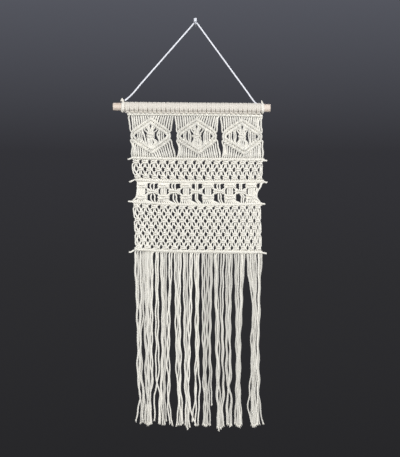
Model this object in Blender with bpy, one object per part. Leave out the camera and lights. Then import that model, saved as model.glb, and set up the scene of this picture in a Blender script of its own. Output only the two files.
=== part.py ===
"""Macrame wall hanging on a wooden dowel, hung by its cord from a small wall hook.

X runs along the dowel, Z is up and the wall is the plane Y = 0, with the hanging in front of it
at Y < 0. The origin is the centre of the hook's flat back. The sizes below are in millimetres,
and MM turns them into the scene's metres.
"""
import math

import bmesh
import bpy
import numpy as np
from mathutils import Vector, geometry

MM = 0.001
GAP = 0.3                    # air between touching pieces

# Hook
FLANGE_RADIUS = 2.6
FLANGE_THICK = 1.2
SHANK_RADIUS = 0.9
SHANK_REACH = 14.0           # from the wall to the upturned tip's middle
SHANK_RISE = 1.7             # it slopes up this far before its tip turns up
SHANK_AT_CORD = 1.0          # its height where the cord crosses it
TIP_RADIUS = 3.5
TIP_TOP = 13.1

# Dowel
DOWEL_RADIUS = 8.0
DOWEL_LENGTH = 327.0
DOWEL_X = -7.3
DOWEL_Y = -14.0
DOWEL_Z = -172.4
DOWEL_TILT = math.radians(0.54)   # its right end hangs lower
DOWEL_SOFTENING = 1.4

# Cords
CORD = 3.0                   # knotting cord
HANGER = 3.2                 # hanging cord
HANGER_Y = -7.0              # where it crosses the hook
HANGER_STEP = 2.5 * HANGER   # from one point of its middle line to the next

# Ties: middle of the turns along x, their width, then the knot's x, its distance from the dowel's
# middle line and its turn backwards from straight up, and the x of the frayed end's tip
TIES = {
    "cord_tie_left": (-149.8, 8.0, -148.2, 10.8, -6.0, -152.0),
    "cord_tie_right": (139.6, 6.4, 139.2, 12.0, 38.0, 138.2),
}
TIE_THICK = 2.6              # turns pressed a little flat
KNOT_RADIUS = 2.4
FRAY_HEIGHT = 7.4
FRAY_WIDTHS = ((0.0, 2.0), (0.35, 2.6), (0.7, 2.0), (1.0, 0.9))   # share of the height, radius

# Heading, from the first knot to the last
HEADING_LEFT = -145.4
HEADING_RIGHT = 136.0
LARKS_HEADS = 30
WRAP_RADIUS = DOWEL_RADIUS + GAP + 2.0   # round the cords, which lie flattened on the dowel
WRAP_VALLEY = 0.7            # how far the outline dips between two cords

# Cloth
BAR_HALF_HEIGHT = 3.1
BAR_HALF_DEPTH = 3.6
CORD_LAYER = 3.2             # strands that lie side by side
NET_LAYER = 5.0              # square knots
HITCH_LAYER = 7.0            # rows of half hitches
BIG_KNOT_LAYER = 8.0         # square knots over many strands
RIPPLE_DEPTH = 2.2
RIPPLE_X = 38.0
RIPPLE_Z = 120.0
RIPPLE_START = -190.0
RIPPLE_GROWTH = 250.0

# Rows of half hitches. Height of the middle line at five places across, then the cut ends.
BAR_X = (-132.0, -65.0, 0.0, 65.0, 135.0)
#            height at each of BAR_X                     left end          right end
BARS = {
    "top_bar": ((-186.3, -186.7, -187.3, -188.3, -190.0), None, None),
    "bar_a": ((-276.7, -278.9, -279.8, -280.2, -280.6), (-139.6, -279.8), (149.0, -283.1)),
    "bar_b": ((-321.9, -325.7, -327.3, -326.6, -325.4), (-136.7, -326.5), (149.4, -328.2)),
    "bar_c": ((-368.2, -372.9, -375.0, -374.6, -372.2), (-139.1, -367.6), (144.9, -372.9)),
    "bar_d": ((-466.2, -470.2, -471.4, -472.2, -472.9), (-137.1, -473.0), (147.9, -475.3)),
}

# Side edges of the cloth: height, left edge, right edge
EDGES = (
    (-185.0, -141.3, 139.3), (-219.0, -135.9, 138.4), (-235.0, -134.3, 138.0),
    (-246.0, -130.5, 139.5), (-263.0, -133.7, 142.4), (-278.0, -132.4, 143.0),
    (-290.0, -132.0, 140.6), (-313.0, -131.0, 139.6), (-325.0, -126.5, 142.5),
    (-331.0, -120.8, 141.0), (-343.0, -122.2, 133.6), (-353.0, -122.2, 127.0),
    (-363.0, -126.0, 131.4), (-372.0, -130.0, 138.4), (-380.0, -130.6, 137.2),
    (-397.0, -128.7, 136.6), (-428.0, -126.4, 137.6), (-458.0, -124.9, 138.3),
    (-480.0, -126.5, 138.6),
)

# The two slots between the panels: height, then both sides of the left and of the right slot
SLOTS = (
    (-185.0, -44.8, -43.4, 48.9, 50.3), (-194.5, -45.2, -43.2, 48.4, 51.1),
    (-215.2, -48.6, -39.8, 46.5, 54.6), (-231.8, -50.2, -37.8, 44.2, 56.2),
    (-241.2, -50.4, -35.3, 44.2, 58.3), (-256.7, -44.6, -35.7, 49.8, 57.3),
    (-274.4, -39.2, -36.7, 54.0, 56.5), (-285.0, -38.2, -36.7, 54.4, 56.4),
)

# Diamonds: centre x, centre height, sideways lean of the top and of the bottom corner
DIAMONDS = {
    "panel_left": (-92.7, -231.2, 0.0, 3.0),
    "panel_middle": (3.1, -232.3, 0.0, 3.7),
    "panel_right": (97.5, -233.3, -0.4, 4.8),
}
# Half sizes of the diamond's hitched band at its outer side, its ridge and its inner side:
#                 apex   side x  side z
DIAMOND_RINGS = ((36.6, 39.4, 12.4), (29.8, 35.0, 7.2), (22.8, 30.1, 2.0))
CENTRE_KNOT = (6.2, 10.0)    # half width and half height
# The gap beside the centre knot, measured from the diamond's centre
EYE = ((-12.9, 13.5), (-8.7, 6.2), (-5.6, 0.0), (-7.0, -7.3), (-9.1, -15.1), (-12.1, -9.3),
       (-13.2, 0.0), (-14.2, 7.3))

STRANDS = 60
# The strands stand wider apart towards the left: height, how much
SPREADS = ((-320.0, 0.10), (-375.0, 0.21))

# Nets: heights of the knot rows; a row of fifteen knots and a row of fourteen take turns
UPPER_NET_ROWS = (-285.6, -300.6, -315.6)
LOWER_NET_ROWS = (-378.6, -392.4, -406.2, -420.0, -434.2, -448.6, -462.6)
NET_HOLE = (2.1, 3.4)        # half width and half height

# Openwork band: x of each group of gaps, then how wide and how tall its left and right gaps are
BAND_GROUPS = (
    (-88.4, 0.75, 0.90), (-43.2, 1.00, 0.85), (2.7, 0.95, 1.05), (49.8, 1.10, 0.80),
    (94.2, 1.05, 0.75),
)
BAND_HIGH_Z = -335.6
BAND_MIDDLE_Z = -347.6
BAND_LOW_Z = -361.4
BAND_MIDDLE_X = (-102.1, -75.1, -56.9, -28.4, -10.4, 18.1, 35.9, 63.9, 105.4)

# Fringe: side edges of each bundle under the last bar, half way down, low down and at its tip,
# and the height of the tip
FRINGE_ROOT_Z = -492.0
FRINGE_MIDDLE_Z = -645.0
FRINGE_LOW_Z = -769.0
FRINGE = (
    # root            middle           low              tip              tip height
    (-126.2, -107.0, -120.6, -111.0, -118.7, -107.2, -121.8, -108.2, -827.5),
    (-106.0, -87.0, -107.1, -88.4, -102.1, -90.1, -103.4, -91.4, -831.7),
    (-83.4, -76.6, -82.6, -76.8, -81.4, -76.1, -86.3, -80.9, -824.0),
    (-73.1, -46.9, -71.0, -52.3, -72.6, -52.7, -75.1, -48.2, -831.7),
    (-44.0, -28.4, -41.9, -29.9, -37.4, -27.6, -38.8, -25.7, -831.7),
    (-25.3, -5.4, -24.1, -9.1, -21.2, -11.4, -20.8, -13.7, -840.0),
    (-2.9, 8.9, -0.6, 8.1, -1.5, 10.6, -3.5, 7.9, -832.9),
    (12.7, 36.3, 14.1, 32.6, 16.2, 34.0, 17.4, 32.0, -834.1),
    (38.6, 60.8, 41.5, 58.5, 43.0, 58.7, 45.7, 58.5, -842.4),
    (63.1, 77.8, 63.1, 74.1, 64.3, 76.4, 65.2, 74.3, -835.0),
    (80.7, 103.2, 83.9, 95.7, 83.9, 95.1, 81.6, 95.1, -835.8),
    (106.1, 139.2, 115.0, 133.5, 111.9, 133.5, 114.6, 139.9, -835.8),
)
FRINGE_BAND = 8.0            # the comb's solid strip under the last bar
FRINGE_SWAY = 1.2            # how far a bundle swings to either side on its way down
FRINGE_SWAY_LENGTH = 26.0
FRINGE_LAYER = 5.0           # a bundle is a few strands deep

# Colours: red, green, blue, roughness
COTTON = (0.80, 0.775, 0.71, 0.95)
HANGER_COTTON = (0.84, 0.85, 0.87, 0.95)
WOOD = (0.80, 0.68, 0.56, 0.60)
PAINT = (0.90, 0.90, 0.92, 0.35)


# ---------------------------------------------------------------- helpers

def clear_scene():
    for thing in list(bpy.data.objects):
        bpy.data.objects.remove(thing, do_unlink=True)


def make_material(name, look):
    red, green, blue, roughness = look
    material = bpy.data.materials.new(name)
    material.use_nodes = True
    shader = material.node_tree.nodes["Principled BSDF"]
    shader.inputs["Base Color"].default_value = (red, green, blue, 1.0)
    shader.inputs["Roughness"].default_value = roughness
    shader.inputs["Metallic"].default_value = 0.0
    return material


def add_object(name, vertices, faces, look, smooth_angle=50.0):
    """One named object from vertices in millimetres, with its own material."""
    mesh = bpy.data.meshes.new(name)
    mesh.from_pydata([(x * MM, y * MM, z * MM) for x, y, z in vertices], [], faces)
    mesh.shade_smooth()
    mesh.set_sharp_from_angle(angle=math.radians(smooth_angle))
    mesh.materials.append(make_material(name + "_material", look))
    thing = bpy.data.objects.new(name, mesh)
    bpy.context.scene.collection.objects.link(thing)
    return thing


def between(rows, height, column):
    """A column of a table, whose first column is a falling height, read at one height."""
    heights = [-row[0] for row in rows]
    return float(np.interp(-height, heights, [row[column] for row in rows]))


def left_edge(z):
    return between(EDGES, z, 1)


def right_edge(z):
    return between(EDGES, z, 2)


def bar_z(name, x):
    return float(np.interp(x, BAR_X, BARS[name][0]))


def fabric_y(x, z):
    """Depth of the cloth's middle surface: flat under the dowel, gently rippled lower down."""
    hang = min(1.0, max(0.0, (RIPPLE_START - z) / RIPPLE_GROWTH))
    return DOWEL_Y + RIPPLE_DEPTH * hang * math.sin(x / RIPPLE_X + z / RIPPLE_Z)


def strand_x(place, z):
    """Where a strand, counted from 0 at the left edge to 60 at the right edge, hangs at a height."""
    share = place / STRANDS
    share += between(SPREADS, z, 1) * share * share * (1.0 - share)
    return left_edge(z) + (right_edge(z) - left_edge(z)) * share


def smooth_route(points, step):
    """Points about a step apart along a Catmull-Rom curve through the route's own points."""
    ends = [2 * points[0] - points[1]] + points + [2 * points[-1] - points[-2]]
    route = []
    for before, start, stop, after in zip(ends, ends[1:], ends[2:], ends[3:]):
        pieces = max(1, round((stop - start).length / step))
        for piece in range(pieces):
            t = piece / pieces
            route.append(0.5 * (2 * start + (stop - before) * t
                                + (2 * before - 5 * start + 4 * stop - after) * t * t
                                + (3 * start - before - 3 * stop + after) * t ** 3))
    route.append(points[-1])
    return route


def tube(name, rings, look, smooth_angle=50.0):
    """A closed solid through rings of equally many points, its two ends capped."""
    count = len(rings[0])
    vertices = [point for ring in rings for point in ring]
    faces = [tuple(range(count))[::-1]]
    for ring in range(len(rings) - 1):
        for side in range(count):
            low, high = ring * count, (ring + 1) * count
            after = (side + 1) % count
            faces.append((low + side, low + after, high + after, high + side))
    faces.append(tuple(range(len(vertices) - count, len(vertices))))
    return add_object(name, vertices, faces, look, smooth_angle)


def inside(point, loop):
    """Whether a point of the cloth's plane lies inside a closed loop."""
    x, z = point
    crossings = 0
    for (x0, z0), (x1, z1) in zip(loop, loop[1:] + loop[:1]):
        if (z0 > z) != (z1 > z) and x < x0 + (z - z0) * (x1 - x0) / (z1 - z0):
            crossings += 1
    return crossings % 2 == 1


def cloth(name, outline, holes, ridges, thickness):
    """A closed sheet in the rippled plane of the cloth.

    The outline, the holes and the ridges are loops of (x, z). The thickness is a function of
    (x, z) that the sheet takes at its loops' points.
    """
    points, edges = [], []
    for loop in [outline] + holes + ridges:
        first = len(points)
        points += [Vector(point) for point in loop]
        edges += [(first + i, first + (i + 1) % len(loop)) for i in range(len(loop))]
    flat, _, triangles, _, _, _ = geometry.delaunay_2d_cdt(points, edges, [], 0, 1e-5)
    kept = []
    for triangle in triangles:
        middle = sum((flat[i] for i in triangle), Vector((0.0, 0.0))) / 3
        if inside(middle, outline) and not any(inside(middle, hole) for hole in holes):
            kept.append(tuple(triangle))
    used = sorted({i for triangle in kept for i in triangle})
    number = {old: new for new, old in enumerate(used)}
    front, back = [], []
    for i in used:
        x, z = flat[i]
        half = thickness(x, z) / 2
        front.append((x, fabric_y(x, z) - half, z))
        back.append((x, fabric_y(x, z) + half, z))
    shift = len(used)
    faces, borders = [], {}
    for triangle in kept:
        a, b, c = (number[i] for i in triangle)
        faces.append((a, b, c))
        faces.append((c + shift, b + shift, a + shift))
        for start, stop in ((a, b), (b, c), (c, a)):
            borders[(start, stop)] = borders.get((start, stop), 0) + 1
    for start, stop in borders:
        if (stop, start) not in borders:
            faces.append((stop, start, start + shift, stop + shift))
    return add_object(name, front + back, faces, COTTON, smooth_angle=35.0)


def steps(start, stop, length):
    """Evenly spaced numbers from start to stop, no more than a length apart, both included."""
    count = max(1, math.ceil(abs(stop - start) / length))
    return [start + (stop - start) * i / count for i in range(count + 1)]


# ---------------------------------------------------------------- hook, cord and dowel

def add_hook():
    """A flange on the wall, a straight shank and a rounded tip that turns up."""
    # distance from the wall, height, radius, then how far the ring has turned upwards
    stations = (
        (0.0, 0.0, FLANGE_RADIUS, 0.0), (FLANGE_THICK, 0.0, FLANGE_RADIUS, 0.0),
        (FLANGE_THICK + 0.2, 0.0, SHANK_RADIUS, 0.0),
        (SHANK_REACH - 3.0, SHANK_RISE, SHANK_RADIUS, 5.0),
        (SHANK_REACH - 1.3, SHANK_RISE + 0.4, SHANK_RADIUS, 30.0),
        (SHANK_REACH - 0.3, SHANK_RISE + 1.4, SHANK_RADIUS, 60.0),
        (SHANK_REACH, SHANK_RISE + 2.8, SHANK_RADIUS, 90.0),
        (SHANK_REACH, SHANK_RISE + 3.3, 2.6, 90.0), (SHANK_REACH, SHANK_RISE + 4.2, TIP_RADIUS, 90.0),
        (SHANK_REACH, TIP_TOP - 2.2, TIP_RADIUS, 90.0), (SHANK_REACH, TIP_TOP - 0.7, 3.0, 90.0),
        (SHANK_REACH, TIP_TOP, 1.8, 90.0),
    )
    sides = 16
    rings = []
    for reach, height, radius, turn in stations:
        tilt = math.radians(turn)
        ring = []
        for side in range(sides):
            angle = 2 * math.pi * side / sides
            across, upward = radius * math.cos(angle), radius * math.sin(angle)
            ring.append((across, -reach + upward * math.sin(tilt),
                         height + upward * math.cos(tilt)))
        rings.append(ring)
    return tube("wall_hook", rings, PAINT)


def dowel_z(x):
    return DOWEL_Z - (x - DOWEL_X) * math.tan(DOWEL_TILT)


def add_dowel(axis):
    """A round rod with softened ends, laid along the tilted axis."""
    bpy.ops.mesh.primitive_cylinder_add(vertices=40, radius=DOWEL_RADIUS * MM,
                                        depth=DOWEL_LENGTH * MM)
    dowel = bpy.context.active_object
    dowel.name = "dowel"
    dowel.data.materials.append(make_material("dowel_material", WOOD))
    dowel.rotation_euler = (0.0, math.radians(90.0), 0.0)
    dowel.parent = axis
    softening = dowel.modifiers.new("softened_ends", "BEVEL")
    softening.width = DOWEL_SOFTENING * MM
    softening.segments = 3
    softening.limit_method = "ANGLE"
    dowel.data.shade_smooth()
    dowel.data.set_sharp_from_angle(angle=math.radians(50.0))
    return dowel


def hanger_route():
    """The cord's route from the left tie over the hook to the right tie, hung straight.

    At the right it goes down behind the heading and along it to its tie.
    """
    over = SHANK_AT_CORD + SHANK_RADIUS + GAP + HANGER / 2 + 0.2
    route = [Vector(point) for point in (
        (-136.1, -12.8, -149.9), (-110.0, -11.6, -119.9), (-84.0, -10.4, -90.1),
        (-42.0, -8.4, -42.0), (-12.0, HANGER_Y, -7.6), (-5.5, HANGER_Y, -0.1),
        (-2.7, HANGER_Y, over - 0.9), (0.4, HANGER_Y, over), (3.5, HANGER_Y, over - 0.9),
        (6.3, HANGER_Y, -0.1), (12.0, HANGER_Y, -7.9), (40.0, -7.2, -46.3), (78.0, -7.6, -98.5),
        (108.0, -8.0, -139.6), (121.8, -7.2, -158.6), (126.0, -5.6, -163.0),
        (130.6, -4.9, -164.6))]
    return ([cord_end(TIES["cord_tie_left"], route[0])] + route
            + [cord_end(TIES["cord_tie_right"], route[-1])])


def add_hanging_cord():
    """The round cord as a curve with a bevel; its middle line is a smooth curve."""
    route = []
    for point in smooth_route(hanger_route(), HANGER_STEP):
        if not route or (point - route[-1]).length > HANGER * 0.7:
            route.append(point)
    curve = bpy.data.curves.new("hanging_cord", "CURVE")
    curve.dimensions = "3D"
    curve.bevel_depth = HANGER / 2 * MM
    curve.bevel_resolution = 2
    curve.use_fill_caps = True
    spline = curve.splines.new("POLY")
    spline.points.add(len(route) - 1)
    for spot, point in zip(spline.points, route):
        spot.co = (point.x * MM, point.y * MM, point.z * MM, 1.0)
    curve.materials.append(make_material("hanging_cord_material", HANGER_COTTON))
    cord = bpy.data.objects.new("hanging_cord", curve)
    bpy.context.scene.collection.objects.link(cord)
    return cord


def knot_centre(tie):
    """The knot sits on the turns, on top of them or somewhat to the back."""
    _, _, knot_x, reach, turn, _ = tie
    back = math.radians(turn)
    return Vector((knot_x, DOWEL_Y + reach * math.sin(back),
                   dowel_z(knot_x) + reach * math.cos(back)))


def cord_end(tie, neighbour):
    """Where the hanging cord stops, just clear of a tie's knot, as it comes from a neighbour."""
    centre = knot_centre(tie)
    return centre + (neighbour - centre).normalized() * (KNOT_RADIUS + 2 * GAP)


def make_helper(shape):
    """Hides a shape that a Boolean uses."""
    shape.hide_render = True
    shape.display_type = "WIRE"
    return shape


def add_ball(name, centre, radius):
    shape = bmesh.new()
    bmesh.ops.create_uvsphere(shape, u_segments=10, v_segments=7, radius=radius * MM)
    mesh = bpy.data.meshes.new(name)
    shape.to_mesh(mesh)
    shape.free()
    ball = bpy.data.objects.new(name, mesh)
    ball.location = centre * MM
    bpy.context.scene.collection.objects.link(ball)
    return ball


def add_frayed_end(name, foot, top_x):
    """A short end that stands up like a small pointed brush."""
    sides = 8
    rings = []
    for rise, radius in FRAY_WIDTHS:
        middle_x = foot.x + (top_x - foot.x) * rise
        rings.append([(middle_x + radius * math.cos(2 * math.pi * side / sides),
                       foot.y + 0.8 * radius * math.sin(2 * math.pi * side / sides),
                       foot.z + FRAY_HEIGHT * rise) for side in range(sides)])
    return tube(name, rings, HANGER_COTTON)


def add_tie(name, tie):
    """Turns of cord round the dowel, joined with their knot and its frayed end."""
    middle, width, knot_x, _, _, fray_x = tie
    sides = 20
    inner = (DOWEL_RADIUS + GAP) / math.cos(math.pi / sides)
    outer = DOWEL_RADIUS + GAP + TIE_THICK
    profile = ((-width / 2, outer - 1.0), (-width / 4, outer), (0.0, outer - 0.9),
               (width / 4, outer), (width / 2, outer - 1.0), (width / 2, inner),
               (-width / 2, inner))
    vertices = []
    for offset, radius in profile:
        x = middle + offset
        for side in range(sides):
            turn = 2 * math.pi * side / sides
            vertices.append((x, DOWEL_Y + radius * math.cos(turn),
                             dowel_z(x) + radius * math.sin(turn)))
    faces = []
    for ring in range(len(profile)):
        after_ring = (ring + 1) % len(profile)
        for side in range(sides):
            after = (side + 1) % sides
            faces.append((ring * sides + side, ring * sides + after,
                          after_ring * sides + after, after_ring * sides + side))
    turns = add_object(name, vertices, faces, HANGER_COTTON)
    centre = knot_centre(tie)
    foot = Vector((centre.x + (fray_x - knot_x) * 0.1, centre.y, centre.z))
    knot = add_ball(name + "_knot_helper", centre, KNOT_RADIUS)
    fray = add_frayed_end(name + "_fray_helper", foot, fray_x)
    for shape in (make_helper(knot), make_helper(fray)):
        union = turns.modifiers.new(shape.name, "BOOLEAN")
        union.operation = "UNION"
        union.solver = "EXACT"
        union.object = shape
    return turns


# ---------------------------------------------------------------- heading and bars

def add_heading(axis):
    """A sleeve of folded cords round the dowel, with the strands' short drop to the top bar."""
    sides = 16
    inner = (DOWEL_RADIUS + GAP) / math.cos(math.pi / sides)
    angles = [math.pi / 2 + 2 * math.pi * i / sides for i in range(sides)]
    pitch = (HEADING_RIGHT - HEADING_LEFT) / LARKS_HEADS
    outer_rings, xs = [], []
    for place in range(2 * LARKS_HEADS + 1):
        x = HEADING_LEFT + pitch * place / 2
        dip = WRAP_VALLEY if place % 2 == 0 else 0.0
        drop = dowel_z(x) - (bar_z("top_bar", x) + BAR_HALF_HEIGHT + GAP)
        ring = []
        for angle in angles:
            reach = WRAP_RADIUS - dip
            y, z = reach * math.cos(angle), reach * math.sin(angle)
            if z < -0.9 * reach:
                y, z = 0.62 * y, -drop
            ring.append((x - DOWEL_X, y, z))
        outer_rings.append(ring)
        xs.append(x - DOWEL_X)
    vertices = [point for ring in outer_rings for point in ring]
    bore = len(vertices)
    for x in (xs[0], xs[-1]):
        vertices += [(x, inner * math.cos(angle), inner * math.sin(angle)) for angle in angles]
    faces = []
    last = (len(outer_rings) - 1) * sides
    for side in range(sides):
        after = (side + 1) % sides
        for ring in range(len(outer_rings) - 1):
            low, high = ring * sides, (ring + 1) * sides
            faces.append((low + side, low + after, high + after, high + side))
        faces.append((bore + side, bore + sides + side, bore + sides + after, bore + after))
        faces.append((bore + side, bore + after, after, side))
        faces.append((last + side, last + after, bore + sides + after, bore + sides + side))
    heading = add_object("heading", vertices, faces, COTTON)
    heading.parent = axis
    return heading


def add_bar(name):
    """A row of half hitches, whose carrier cord shows as a cut end at both sides."""
    _, left_tail, right_tail = BARS[name]
    left, right = left_edge(bar_z(name, BAR_X[0])), right_edge(bar_z(name, BAR_X[-1]))
    stations = []                # x, height, half height, half depth
    if left_tail:
        stations.append((left_tail[0], left_tail[1], CORD / 2, CORD / 2))
        stations.append((left - 1.6, bar_z(name, left) - 0.6, CORD / 2, CORD / 2))
    for x in steps(left, right, 19.0):
        swell = 0.0 if left < x < right else -0.9
        stations.append((x, bar_z(name, x), BAR_HALF_HEIGHT + swell, BAR_HALF_DEPTH + swell))
    if right_tail:
        stations.append((right + 1.6, bar_z(name, right) - 0.4, CORD / 2, CORD / 2))
        stations.append((right_tail[0], right_tail[1], CORD / 2, CORD / 2))
    sides = 8
    rings = []
    for x, z, half_height, half_depth in stations:
        y = fabric_y(x, z)
        rings.append([(x, y + half_depth * math.cos(2 * math.pi * (i + 0.5) / sides),
                       z + half_height * math.sin(2 * math.pi * (i + 0.5) / sides))
                      for i in range(sides)])
    return tube(name, rings, COTTON)


# ---------------------------------------------------------------- cloth pieces

def piece_outline(left, right, above, below):
    """An outline between two bars, with the two side edges given as functions of the height.

    Its points run anticlockwise as seen from the front.
    """
    reach = BAR_HALF_HEIGHT + GAP

    def height(bar, x, sign):
        return bar_z(bar, x) + sign * reach

    top_left = height(above, left(bar_z(above, BAR_X[0])), -1)
    top_right = height(above, right(bar_z(above, BAR_X[-1])), -1)
    low_left = height(below, left(bar_z(below, BAR_X[0])), 1)
    low_right = height(below, right(bar_z(below, BAR_X[-1])), 1)
    bottom = [(x, height(below, x, 1)) for x in steps(left(low_left), right(low_right), 16.0)]
    top = [(x, height(above, x, -1)) for x in steps(right(top_right), left(top_left), 16.0)]
    rise = [(right(z), z) for z in steps(bottom[-1][1], top[0][1], 9.0)[1:-1]]
    fall = [(left(z), z) for z in steps(top[-1][1], bottom[0][1], 9.0)[1:-1]]
    return bottom + rise + top + fall


def diamond_ring(centre, apex, side_x, side_z, lean_top, lean_bottom):
    """The six corners of a diamond with blunt sides, anticlockwise from its right upper one."""
    x, z = centre
    return [(x + side_x, z + side_z), (x + lean_top, z + apex), (x - side_x, z + side_z),
            (x - side_x, z - side_z), (x + lean_bottom, z - apex), (x + side_x, z - side_z)]


def panel_sides(name):
    """The two side edges of a panel as functions of the height."""
    if name == "panel_left":
        return left_edge, lambda z: between(SLOTS, z, 1)
    if name == "panel_middle":
        return lambda z: between(SLOTS, z, 2), lambda z: between(SLOTS, z, 3)
    return lambda z: between(SLOTS, z, 4), right_edge


def add_panel(name):
    """Twenty strands round a hitched diamond with a big square knot between two gaps."""
    centre_x, centre_z, lean_top, lean_bottom = DIAMONDS[name]
    left, right = panel_sides(name)
    centre = (centre_x, centre_z)
    rings = [diamond_ring(centre, *sizes, lean_top, lean_bottom) for sizes in DIAMOND_RINGS]
    half_width, half_height = CENTRE_KNOT
    knot_loops = []
    for scale in (0.8, 0.4):
        knot_loops.append([(centre_x + half_width * scale * math.cos(math.radians(turn)),
                            centre_z + half_height * scale * math.sin(math.radians(turn)))
                           for turn in range(0, 360, 45)])
    eyes = [[(centre_x + side * x, centre_z + z) for x, z in EYE][::side] for side in (1, -1)]
    ridge = rings[1]

    def thickness(x, z):
        nearest = min(math.hypot(x - px, z - pz) for px, pz in ridge)
        if nearest < 0.5:
            return HITCH_LAYER
        if math.hypot((x - centre_x) / half_width, (z - centre_z) / half_height) < 0.6:
            return BIG_KNOT_LAYER
        return CORD_LAYER

    return cloth(name, piece_outline(left, right, "top_bar", "bar_a"), eyes,
                 rings + knot_loops, thickness)


def net_hole(x, z, scale):
    half_width, half_height = NET_HOLE
    return [(x + half_width * scale, z), (x, z + half_height * scale),
            (x - half_width * scale, z), (x, z - half_height * scale)]


def add_net(name, rows, above, below):
    """Alternating rows of square knots with a small hole between each two neighbours."""
    holes = []
    for number, z in enumerate(rows):
        offset = 4 if number % 2 == 0 else 6
        count = 14 if number % 2 == 0 else 13
        for hole in range(count):
            place = offset + 4 * hole
            scale = 1.0 - 0.25 * (place / STRANDS) ** 2
            holes.append(net_hole(strand_x(place, z), z, scale))
    outline = piece_outline(left_edge, right_edge, above, below)
    return cloth(name, outline, holes, [], lambda x, z: NET_LAYER)


def teardrop(x, z, wide, tall, lean):
    """A gap that is wide at its top and narrow at its foot."""
    return [(x + wide / 2, z + tall * 0.38), (x, z + tall / 2), (x - wide / 2, z + tall * 0.38),
            (x - wide / 2 + lean, z), (x + 1.6 * lean - 0.6, z - tall / 2),
            (x + 1.6 * lean + 0.6, z - tall / 2), (x + wide / 2 + lean, z)]


def add_openwork_band():
    """Big square knots in three rows; the gaps between them come in groups."""
    holes = []
    for x, left_size, right_size in BAND_GROUPS:
        holes.append(teardrop(x - 7.8, BAND_HIGH_Z, 6.0 * left_size, 9.0, 0.4))
        holes.append(teardrop(x + 7.4, BAND_HIGH_Z, 7.0 * right_size, 9.0, -0.4))
        holes.append(teardrop(x - 7.6, BAND_LOW_Z, 7.0 * left_size, 14.0, 1.0))
        holes.append(teardrop(x + 7.8, BAND_LOW_Z, 6.4 * right_size, 13.0, -0.6))
    for x in BAND_MIDDLE_X:
        holes.append(teardrop(x, BAND_MIDDLE_Z, 3.6, 8.0, 0.2))
    outline = piece_outline(left_edge, right_edge, "bar_b", "bar_c")
    return cloth("openwork_band", outline, holes, [], lambda x, z: BIG_KNOT_LAYER - 1.4)


def tooth_side(bundle, column):
    """One side of a bundle as a function of the height, from its root to its tip."""
    heights = (-FRINGE_ROOT_Z, -FRINGE_MIDDLE_Z, -FRINGE_LOW_Z, -bundle[-1])
    places = [bundle[column + 2 * row] for row in range(4)]

    def side(z):
        sway = math.sin((z - FRINGE_ROOT_Z) / FRINGE_SWAY_LENGTH) * math.cos(bundle[0])
        return float(np.interp(-z, heights, places)) + FRINGE_SWAY * sway

    return side


def add_fringe():
    """The strands' loose ends: one strip under the last bar with a tooth for each bundle."""
    reach = BAR_HALF_HEIGHT + GAP
    first, last = FRINGE[0][0], FRINGE[-1][1]
    outline = [(x, bar_z("bar_d", x) - reach) for x in steps(last, first, 20.0)]
    for bundle in FRINGE:
        left, right, tip_z = tooth_side(bundle, 0), tooth_side(bundle, 1), bundle[-1]
        root_left, root_right = bundle[0], bundle[1]
        if bundle is not FRINGE[0]:
            outline.append((root_left, bar_z("bar_d", root_left) - reach - FRINGE_BAND))
        middle = (left(tip_z) + right(tip_z)) / 2
        heights = steps(FRINGE_ROOT_Z, tip_z + 5.0, 42.0)
        outline += [(left(z), z) for z in heights]
        outline.append((left(tip_z) + 1.0, tip_z + 1.5))
        outline.append((middle, tip_z))
        outline.append((right(tip_z) - 1.0, tip_z + 2.5))
        outline += [(right(z), z) for z in reversed(heights)]
        if bundle is not FRINGE[-1]:
            outline.append((root_right, bar_z("bar_d", root_right) - reach - FRINGE_BAND))
    return cloth("fringe", outline, [], [], lambda x, z: FRINGE_LAYER)


def main():
    clear_scene()
    axis = bpy.data.objects.new("dowel_axis", None)
    axis.location = (DOWEL_X * MM, DOWEL_Y * MM, DOWEL_Z * MM)
    axis.rotation_euler = (0.0, DOWEL_TILT, 0.0)
    bpy.context.scene.collection.objects.link(axis)
    add_hook()
    add_hanging_cord()
    for name, tie in TIES.items():
        add_tie(name, tie)
    add_dowel(axis)
    add_heading(axis)
    for name in BARS:
        add_bar(name)
    for name in DIAMONDS:
        add_panel(name)
    add_net("upper_net", UPPER_NET_ROWS, "bar_a", "bar_b")
    add_openwork_band()
    add_net("lower_net", LOWER_NET_ROWS, "bar_c", "bar_d")
    add_fringe()


main()
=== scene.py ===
import math

import bpy
import numpy as np
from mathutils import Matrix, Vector


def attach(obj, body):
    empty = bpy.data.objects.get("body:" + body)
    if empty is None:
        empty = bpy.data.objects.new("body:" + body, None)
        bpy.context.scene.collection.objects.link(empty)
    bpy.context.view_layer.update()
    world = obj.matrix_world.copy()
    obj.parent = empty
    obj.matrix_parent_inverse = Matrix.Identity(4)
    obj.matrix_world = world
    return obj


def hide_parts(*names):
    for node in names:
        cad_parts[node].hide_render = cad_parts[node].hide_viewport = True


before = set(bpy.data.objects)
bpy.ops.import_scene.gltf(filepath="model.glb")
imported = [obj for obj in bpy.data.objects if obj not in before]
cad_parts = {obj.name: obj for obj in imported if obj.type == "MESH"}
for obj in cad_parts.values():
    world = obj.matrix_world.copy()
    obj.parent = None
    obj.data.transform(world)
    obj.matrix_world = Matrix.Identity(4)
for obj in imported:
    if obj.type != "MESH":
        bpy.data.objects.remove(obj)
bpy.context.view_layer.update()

MM = 0.001
CHANCE = np.random.default_rng(7)

# Camera: the photograph's frame, whose 457 pixels of height span FRAME_HEIGHT on the hanging
FRAME_HEIGHT = 948.5
FRAME_MIDDLE = (9.96, -423.8)     # X and Z in the middle of the image
CAMERA_REACH = 2600.0             # from the camera to the cloth
SENSOR = 36.0                     # covers the frame's longer side, its height

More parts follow.
